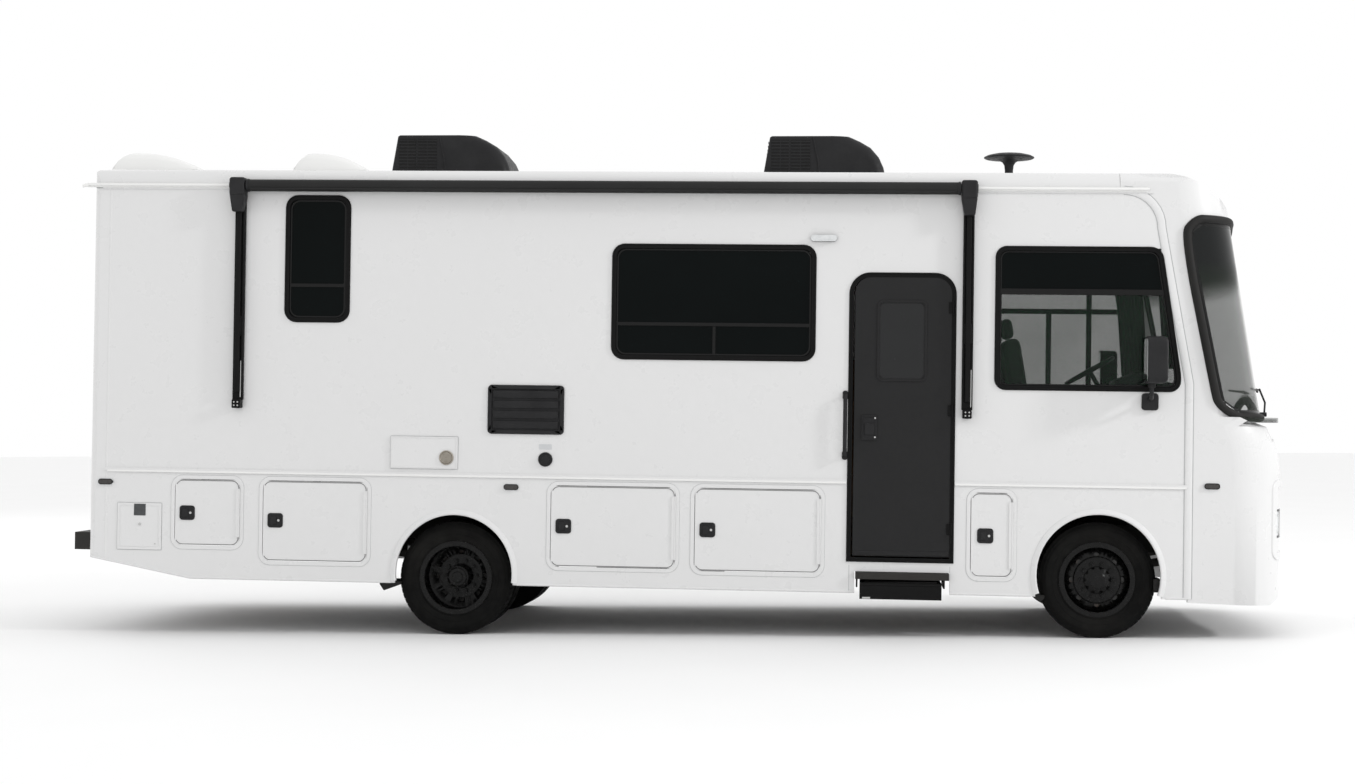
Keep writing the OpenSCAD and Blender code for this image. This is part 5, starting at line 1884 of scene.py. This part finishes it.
# ------------------------------------------------------------------ wheels
def tyre_part():
    """One tyre about the Y axis: bead, ribbed sidewall, round shoulder and tread blocks."""
    half, outer, bead_r = TYRE_WIDTH / 2, TYRE_RADIUS, 0.246
    side = [
        (bead_r, 0.082), (bead_r + 0.006, 0.092), (bead_r + 0.018, 0.0945), (bead_r + 0.021, 0.0975),
        (bead_r + 0.026, 0.0975), (bead_r + 0.029, 0.0955), (bead_r + 0.060, 0.1075), (
            bead_r + 0.064, 0.1095
        ),
        (bead_r + 0.068, 0.1082), (bead_r + 0.088, half), (bead_r + 0.104, half - 0.0005), (
            bead_r + 0.108, half
        ),
        (bead_r + 0.112, half - 0.0015), (outer - 0.034, 0.1045), (outer - 0.030, 0.1045), (
            outer - 0.018, 0.0965
        ),
    ]
    groove = 0.0105
    ribs = ((0.093, 0.060), (0.052, 0.024), (0.018, -0.018), (-0.024, -0.052), (-0.060, -0.093))
    tread = []
    for start, end in ribs:
        drop = 0.004 if abs(start + end) > 0.1 else 0.0
        first, last = (drop, 0.0) if start > 0.08 else (0.0, drop) if end < -0.08 else (0.0, 0.0)
        tread += [(outer - 0.0085 - first, start), (outer - 0.0085 - last, end)]
    grooves = []
    for i, point in enumerate(tread):
        grooves.append(point)
        if i % 2 and i < len(tread) - 1:
            after = tread[i + 1]
            grooves += [
                (outer - 0.0085 - groove, point[1] - 0.001), (outer - 0.0085 - groove, after[1] + 0.001)
            ]
    profile = side + grooves + [(r, -o) for r, o in reversed(side)]
    lining = [
        (bead_r + 0.010, -0.070), (outer - 0.030, -0.080), (outer - 0.030, 0.080), (bead_r + 0.010, 0.070)
    ]
    part = turned(profile + lining, sizes().tread_blocks, closed=True)
    bmesh.ops.recalc_face_normals(part, faces=list(part.faces))
    tops = []
    for face in part.faces:
        middle_of = face.calc_center_median()
        reach = math.hypot(middle_of.x, middle_of.z)
        if reach > outer - 0.0135 and abs(face.normal.y) < 0.35 and face.calc_area() > 0.0004:
            tops.append(face)
    bmesh.ops.inset_individual(part, faces=tops, thickness=0.0030, depth=0.0078, use_even_offset=True)
    return part


class MOTORHOME_OT_wheels(bpy.types.Operator):
    """Tyres with tread, enamelled rims, nuts and hub caps"""

    bl_idname = "motorhome.wheels"
    bl_label = "Wheels"

    def execute(self, context):
        for side, word in ((RIGHT, "right"), (LEFT, "left")):
            flip = Matrix.Diagonal((1.0, -side, 1.0, 1.0))
            front = Matrix.Translation((FRONT_HUB.x, side * OUTER_TYRE, FRONT_HUB.z)) @ flip
            body = "wheel_front_" + word
            tyre = Piece("tyre_front_" + word, WORLD)
            tyre.add(tyre_part(), front, close=False)
            tyre.finish(tyre_rubber(), body, ("front_tyre_" + word,), smooth=28)
            softened("front_rim_" + word, rim_enamel(), 0.002)
            self.front_hub(word, front, body)

            body = "wheel_rear_" + word
            pair = Piece("tyres_rear_" + word, WORLD)
            for across in (OUTER_TYRE, INNER_TYRE):
                place = Matrix.Translation((REAR_HUB.x, side * across, REAR_HUB.z)) @ flip
                pair.add(tyre_part(), place, close=False)
            pair.finish(tyre_rubber(), body, ("rear_tyres_" + word,), smooth=28)
            softened("rear_rims_" + word, rim_enamel(), 0.002)
            rear = Matrix.Translation((REAR_HUB.x, side * (OUTER_TYRE + INNER_TYRE) / 2, REAR_HUB.z)) @ flip
            self.rear_hub(word, rear, body)
        return {"FINISHED"}

    def nuts(self, piece, place, radius, out, size=0.0165):
        """A ring of hexagonal nuts with studs."""
        for k in range(sizes().nuts):
            a = math.tau * k / sizes().nuts
            x, z = radius * math.cos(a), radius * math.sin(a)
            piece.add(rod((x, -out + 0.004, z), (x, -out - 0.006, z), size * 1.25, size * 1.2, 20), place)
            piece.add(rod((x, -out - 0.004, z), (x, -out - 0.026, z), size, sides=6, rounding=0.002), place)
            piece.add(
                rod((x, -out - 0.024, z), (x, -out - 0.036, z), size * 0.45, sides=14, rounding=0.0015),
                place,
            )

    def front_hub(self, word, place, body):
        """Raised hub face with nuts and a domed cap."""
        hub = Piece("hub_front_" + word, WORLD)
        profile = (
            (0.165, 0.086), (0.158, 0.097), (0.128, 0.103), (0.096, 0.104), (0.092, 0.110), (0.082, 0.116),
            (0.074, 0.122), (0.060, 0.128), (0.052, 0.134), (0.040, 0.138), (0.020, 0.140), (0.0, 0.1405),
        )
        limit = TYRE_WIDTH / 2
        fitted = [(r, min(o, limit + 0.022)) for r, o in profile]
        hub.add(turned(fitted, 48), place, False)
        self.nuts(hub, place, 0.1125, 0.102)
        hub.finish(rim_enamel(), body)
        drum = Piece("drum_front_" + word, WORLD)
        drum.add(drum_part(0.066, 0.120, 0.196, 0.060), place)
        drum.finish(cast_iron(), body)

    def rear_hub(self, word, place, body):
        """Deep dish with a ring of nuts and a stepped hub."""
        hub = Piece("hub_rear_" + word, WORLD)
        profile = (
            (0.160, 0.0155), (0.156, 0.024), (0.090, 0.026), (0.086, 0.060), (0.082, 0.130), (0.078, 0.150),
            (0.066, 0.156), (0.062, 0.162), (0.040, 0.165), (0.036, 0.170), (0.018, 0.171), (0.0, 0.171),
        )
        hub.add(turned(profile, 48), place, False)
        self.nuts(hub, place, 0.1125, 0.026)
        for k in range(8):
            a = math.tau * k / 8
            x, z = 0.070 * math.cos(a), 0.070 * math.sin(a)
            hub.add(rod((x, -0.150, z), (x, -0.160, z), 0.006, sides=6), place)
        valve = [(0.205, -0.060, 0.02), (0.212, -0.110, 0.02), (0.200, -0.180, 0.02)]
        hub.add(bead(valve, 0.004, sides=2), place)
        hub.finish(rim_enamel(), body)
        drum = Piece("drum_rear_" + word, WORLD)
        drum.add(drum_part(-0.020, 0.150, 0.196, 0.075), place)
        drum.finish(cast_iron(), body)


# ------------------------------------------------------------------ underbody
def drum_part(face, depth, radius, bore):
    """A brake drum: an outboard face and a finned wall that is open inboard."""
    profile = [(bore, face), (radius - 0.010, face), (radius, face - 0.010)]
    for i in range(5):
        at = face - 0.022 - i * 0.018
        profile += [
            (radius, at), (radius + 0.004, at - 0.002), (radius + 0.004, at - 0.006), (radius, at - 0.008)
        ]
    profile += [
        (radius, face - depth), (radius - 0.014, face - depth), (radius - 0.014, face - 0.014),
        (bore, face - 0.014),
    ]
    return turned(profile, 40, closed=True)


class MOTORHOME_OT_underbody(bpy.types.Operator):
    """Axles, springs, tanks, exhaust and mud flaps"""

    bl_idname = "motorhome.underbody"
    bl_label = "Underbody"

    def execute(self, context):
        for node in (
            "drivetrain", "front_axle", "rear_axle", "steering_knuckle_right", "steering_knuckle_left"
        ):
            softened(node, cast_iron(), 0.004)
        softened("leaf_springs", chassis_paint(), 0.0)
        softened("underfloor_tanks", tank_plastic(), 0.025, 4)
        softened("exhaust_pipe", pipe_steel(), 0.003)
        flaps = Piece("mud_flaps")
        rear = ((-0.548, 0.372), (-0.552, 0.352), (-0.520, 0.306), (-0.400, 0.352), (-0.395, 0.372))
        front = ((4.072, 0.372), (4.078, 0.350), (4.120, 0.322), (4.150, 0.352), (4.150, 0.372))
        ahead = ((4.896, 0.500), (4.896, 0.408), (4.950, 0.408), (4.950, 0.500))
        for side in SIDES:
            for outline, depth in ((rear, 0.30), (front, 0.05), (ahead, 0.20)):
                corners = tuple(reversed(outline)) if outline[0][1] < outline[1][1] else outline
                flaps.add(plate(corners, 0.006, -0.040 - depth, -0.040, 0.003, 3), on_side(side))
        flaps.finish(rubber())
        clips = Piece("leaf_spring_clips", WORLD)
        for hub, lift in ((REAR_HUB, 0.060), (FRONT_HUB, 0.010)):
            for side in SIDES:
                y = side * (0.432 + 0.052)
                for x in (-0.065, 0.065):
                    ends = [
                        (hub.x + x, y - 0.046, hub.z - 0.03), (hub.x + x, y - 0.046, hub.z + lift + 0.062)
                    ]
                    ends += [
                        (hub.x + x, y + 0.046, hub.z + lift + 0.062), (hub.x + x, y + 0.046, hub.z - 0.03)
                    ]
                    clips.add(bead(ends, 0.007))
        clips.finish(cast_iron())
        return {"FINISHED"}


# ------------------------------------------------------------------ interior
def cushion(name, low, high, crown, material, replaces=(), tilt=None):
    """A stuffed pad: a crowned box, swollen by a cloth run."""
    low, high = Vector(low), Vector(high)
    part = block(low + Vector((0.012,) * 3), high - Vector((0.012,) * 3), 0.030, 3)
    bmesh.ops.subdivide_edges(part, edges=list(part.edges), cuts=3, use_grid_fill=True)
    pad = Piece(name)
    pad.add(part, tilt)
    made = pad.finish(material, replaces=replaces, smooth=80)
    remesh = made.modifiers.new("voxels", "REMESH")
    remesh.mode = "VOXEL"
    remesh.voxel_size = 0.016
    bake(made)
    cloth = made.modifiers.new("stuffing", "CLOTH")
    cloth.settings.use_pressure = True
    cloth.settings.uniform_pressure_force = crown
    cloth.settings.effector_weights.gravity = 0.0
    cloth.settings.quality = 4
    before = [v.co.copy() for v in made.data.vertices]
    for step in range(1, 13):
        bpy.context.scene.frame_set(step)
    bake(made)
    for vert, old in zip(made.data.vertices, before):
        moved = vert.co - old
        if moved.length > 0.012:
            vert.co = old + moved.normalized() * 0.012
    bpy.context.scene.frame_set(1)
    made.data.shade_smooth()
    smooth = made.modifiers.new("round", "SUBSURF")
    smooth.levels = smooth.render_levels = 1
    return made


def bake(made):
    """Applies every modifier of an object to its mesh."""
    graph = bpy.context.evaluated_depsgraph_get()
    graph.update()
    data = bpy.data.meshes.new_from_object(made.evaluated_get(graph), depsgraph=graph)
    made.modifiers.clear()
    old = made.data
    materials = list(old.materials)
    made.data = data
    data.materials.clear()
    for material in materials:
        data.materials.append(material)
    bpy.data.meshes.remove(old)


class MOTORHOME_OT_cab(bpy.types.Operator):
    """Seats, dashboard, steering wheel and near-black lining of the cab; the lining is real, its near-black
    tone is partly painted shade of the cab interior
    """

    bl_idname = "motorhome.cab"
    bl_label = "Cab Interior"

    def execute(self, context):
        x = FRONT_AXLE - 0.560
        lean = turn_by(-10, "Y")
        base = Piece("seat_pedestals")
        for side, word in ((RIGHT, "right"), (LEFT, "left")):
            y = side * 0.640
            held = ("cab_seats",) if side == RIGHT else ()
            cushion(
                "seat_cushion_" + word, (x, y - 0.250, FLOOR + 0.375), (
                    x + 0.500, y + 0.250, FLOOR + 0.500
                ),
                4.0, seat_cloth(), held,
            )
            back = Matrix.Translation((x, y, FLOOR + 0.480)) @ lean
            cushion(
                "seat_back_" + word, (0.0, -0.250, 0.010), (0.130, 0.250, 0.560), 4.0, seat_cloth(),
                (), back,
            )
            cushion(
                "seat_headrest_" + word, (0.010, -0.150, 0.530), (0.112, 0.150, 0.700), 4.0, seat_cloth(),
                (), back,
            )
            base.add(block((x + 0.080, y - 0.150, FLOOR), (x + 0.400, y + 0.150, FLOOR + 0.360), 0.015))
            base.add(
                block((x + 0.010, y - 0.235, FLOOR + 0.345), (x + 0.470, y + 0.235, FLOOR + 0.380), 0.012)
            )
            for post in (-0.05, 0.05):
                base.add(rod((0.06, post, 0.46), (0.06, post, 0.52), 0.006), back)
        base.finish(grey_plastic())

        softened("dashboard", grey_plastic(), 0.030, 4)
        softened("steering_wheel", black_plastic(), 0.003)
        details = Piece("dashboard_details")
        hood = Matrix.Translation((FRONT_AXLE + 0.40, 0.560, 1.870)) @ turn_by(-22, "Y")
        details.add(block((-0.10, -0.190, -0.02), (0.14, 0.190, 0.075), 0.03, 4), hood)
        for y in (-0.30, -0.12, 0.06):
            details.add(block((0.385 + FRONT_AXLE, y, 1.62), (0.400 + FRONT_AXLE, y + 0.14, 1.70), 0.004))
        details.finish(grey_plastic())

        # painted shade: a near-black lining just inside the cab walls and under the roof, partly its own
        # colour and partly the shade inside the cab
        lining = Piece("cab_wall_lining")
        for side in SIDES:
            seat = on_side(side)
            corners = rect(3.560, 1.160, 5.090, 3.150)
            panel = lining_with_hole(corners, inset(CAB, 0.030))
            lining.add(panel, seat)
        lining.add(block((3.560, -1.225, 3.135), (4.700, 1.225, 3.150), 0.004))
        lining.finish(cab_lining_and_painted_shade())
        self.curtains()
        return {"FINISHED"}

    def curtains(self):
        """A gathered curtain behind each windshield corner, from a flat cloth."""
        for side, word in ((RIGHT, "right"), (LEFT, "left")):
            waves, depth, run = 9, 0.016, 0.210
            top, low = 2.720, 1.960
            cloth = bmesh.new()
            bmesh.ops.create_grid(cloth, x_segments=108, y_segments=24, size=0.5)
            for vert in cloth.verts:
                u, v = vert.co.x + 0.5, vert.co.y + 0.5
                fold = math.sin(u * math.tau * waves) * depth * (0.75 + 0.25 * math.sin(3 * v))
                slide = 0.055 * (1 - v)
                vert.co = Vector(
                    (4.900 + u * run + slide, side * (SKIN - 0.105) + fold, low + v * (top - low))
                )
            piece = Piece("cab_curtain_" + word)
            piece.add(cloth, close=False)
            made = piece.finish(pleated_cloth(), smooth=80)


def lining_with_hole(corners, hole):
    """A wall panel with a window cut in it, just inside the wall."""
    panel = bmesh.new()
    outer = [panel.verts.new((x, 0.0, z)) for x, z in corners]
    inner = [panel.verts.new((x, 0.0, z)) for x, z in hole]
    edges = [panel.edges.new((a, b)) for a, b in zip(outer, outer[1:] + outer[:1])]
    edges += [panel.edges.new((a, b)) for a, b in zip(inner, inner[1:] + inner[:1])]
    bmesh.ops.triangle_fill(panel, use_beauty=True, edges=edges)
    return thicken(panel, -WALL - 0.008, -WALL - 0.002)


# painted shade: near-black cloth of the cab lining, partly its own colour and partly the shade inside the
# cab
@finish_of(Sheen_Weight=0.1)
def cab_lining_and_painted_shade(shader):
    tone = shader.noise(8.0, 4.0)
    shader.colour(tone, (0.016, 0.016, 0.017), (0.030, 0.030, 0.031))
    shader.gloss(tone, 0.8, 0.95)
    shader.bump(shader.noise(600.0, 2.0), 0.3, 0.0004)


class MOTORHOME_OT_cabin(bpy.types.Operator):
    """Furniture of the living space"""

    bl_idname = "motorhome.cabin"
    bl_label = "Cabin Interior"

    def execute(self, context):
        softened("cabin_furniture", cabinet_wood(), 0.006, 3)
        return {"FINISHED"}


# ------------------------------------------------------------------ stage
# name, place, the point it faces, size in metres and power in watts
LIGHTS = (
    ("key", (17.6, -6.4, 9.4), (0.0, -1.0, 1.2), 1.5, 1050.0),
    ("back", (-14.0, 12.0, 12.0), (0.0, 0.0, 1.2), 8.0, 350.0),
)
CAMERA_PLACE = (1.400, -15.942, 1.500)
CAMERA_TURN = (-5.057, 0.874, -0.174)
LENS, SENSOR = 55.45, 36.0
FLOOR_RADIUS = 90.0


class MOTORHOME_OT_stage(bpy.types.Operator):
    """Pale floor, soft lights and the camera"""

    bl_idname = "motorhome.stage"
    bl_label = "Stage"

    def execute(self, context):
        scene = context.scene
        ground = bmesh.new()
        bmesh.ops.create_circle(ground, cap_ends=True, segments=64, radius=FLOOR_RADIUS)
        data = bpy.data.meshes.new("studio_floor")
        ground.to_mesh(data)
        ground.free()
        floor = bpy.data.objects.new("studio_floor", data)
        data.materials.append(studio_floor())
        scene.collection.objects.link(floor)

        world = bpy.data.worlds.new("studio")
        world.use_nodes = True
        backdrop = world.node_tree.nodes["Background"]
        backdrop.inputs["Color"].default_value = (1.0, 1.0, 1.0, 1.0)
        backdrop.inputs["Strength"].default_value = 1.0
        scene.world = world
        scene.view_settings.view_transform = "Standard"

        for lamp in LIGHTS:
            self.light(*lamp)
        self.camera(scene)
        return {"FINISHED"}

    def light(self, name, at, towards, size, power):
        """A soft square light that faces a point."""
        lamp = bpy.data.lights.new(name, "AREA")
        lamp.size = size
        lamp.energy = power
        holder = bpy.data.objects.new(name, lamp)
        holder.location = at
        holder.rotation_mode = "QUATERNION"
        holder.rotation_quaternion = (Vector(towards) - Vector(at)).to_track_quat("-Z", "Y")
        bpy.context.scene.collection.objects.link(holder)

    def camera(self, scene):
        """Stands level with the belt, to the right of the vehicle and a little ahead."""
        yaw, pitch, roll = (math.radians(a) for a in CAMERA_TURN)
        look = Vector((math.sin(yaw) * math.cos(pitch), math.cos(yaw) * math.cos(pitch), math.sin(pitch)))
        right = Vector((math.cos(yaw), -math.sin(yaw), 0.0))
        above = right.cross(look)
        tilted_right = math.cos(roll) * right + math.sin(roll) * above
        tilted_up = tilted_right.cross(look)
        camera = bpy.data.cameras.new("camera")
        camera.lens = LENS
        camera.sensor_width = SENSOR
        camera.clip_end = 400.0
        holder = bpy.data.objects.new("camera", camera)
        turn = Matrix((tilted_right, tilted_up, -look)).transposed().to_4x4()
        holder.matrix_world = Matrix.Translation(CAMERA_PLACE) @ turn
        scene.collection.objects.link(holder)
        scene.camera = holder


# ------------------------------------------------------------------ add-on
STEPS = (
    MOTORHOME_OT_shell,
    MOTORHOME_OT_trim,
    MOTORHOME_OT_windows,
    MOTORHOME_OT_windshield,
    MOTORHOME_OT_nose,
    MOTORHOME_OT_entry,
    MOTORHOME_OT_step,
    MOTORHOME_OT_lockers,
    MOTORHOME_OT_fittings,
    MOTORHOME_OT_lamps,
    MOTORHOME_OT_roof,
    MOTORHOME_OT_awning,
    MOTORHOME_OT_mirrors,
    MOTORHOME_OT_wheels,
    MOTORHOME_OT_underbody,
    MOTORHOME_OT_cab,
    MOTORHOME_OT_cabin,
    MOTORHOME_OT_stage,
)


class MOTORHOME_PT_panel(bpy.types.Panel):
    """Lists the steps and the settings in the sidebar"""

    bl_idname = "MOTORHOME_PT_panel"
    bl_label = "Motorhome"
    bl_space_type = "VIEW_3D"
    bl_region_type = "UI"
    bl_category = "Motorhome"

    def draw(self, context):
        colours, trim = context.scene.motorhome_colours, context.scene.motorhome_sizes
        for group in (colours, trim):
            for name in group.__annotations__:
                self.layout.prop(group, name)
        for step in STEPS:
            self.layout.operator(step.bl_idname)


CLASSES = (MotorhomeColours, MotorhomeSizes, *STEPS, MOTORHOME_PT_panel)


def register():
    for kind in CLASSES:
        bpy.utils.register_class(kind)
    bpy.types.Scene.motorhome_colours = PointerProperty(type=MotorhomeColours)
    bpy.types.Scene.motorhome_sizes = PointerProperty(type=MotorhomeSizes)


def unregister():
    del bpy.types.Scene.motorhome_sizes
    del bpy.types.Scene.motorhome_colours
    for kind in reversed(CLASSES):
        bpy.utils.unregister_class(kind)


def main():
    register()
    for step in STEPS:
        group, name = step.bl_idname.split(".")
        getattr(getattr(bpy.ops, group), name)()


if __name__ == "__main__":
    main()
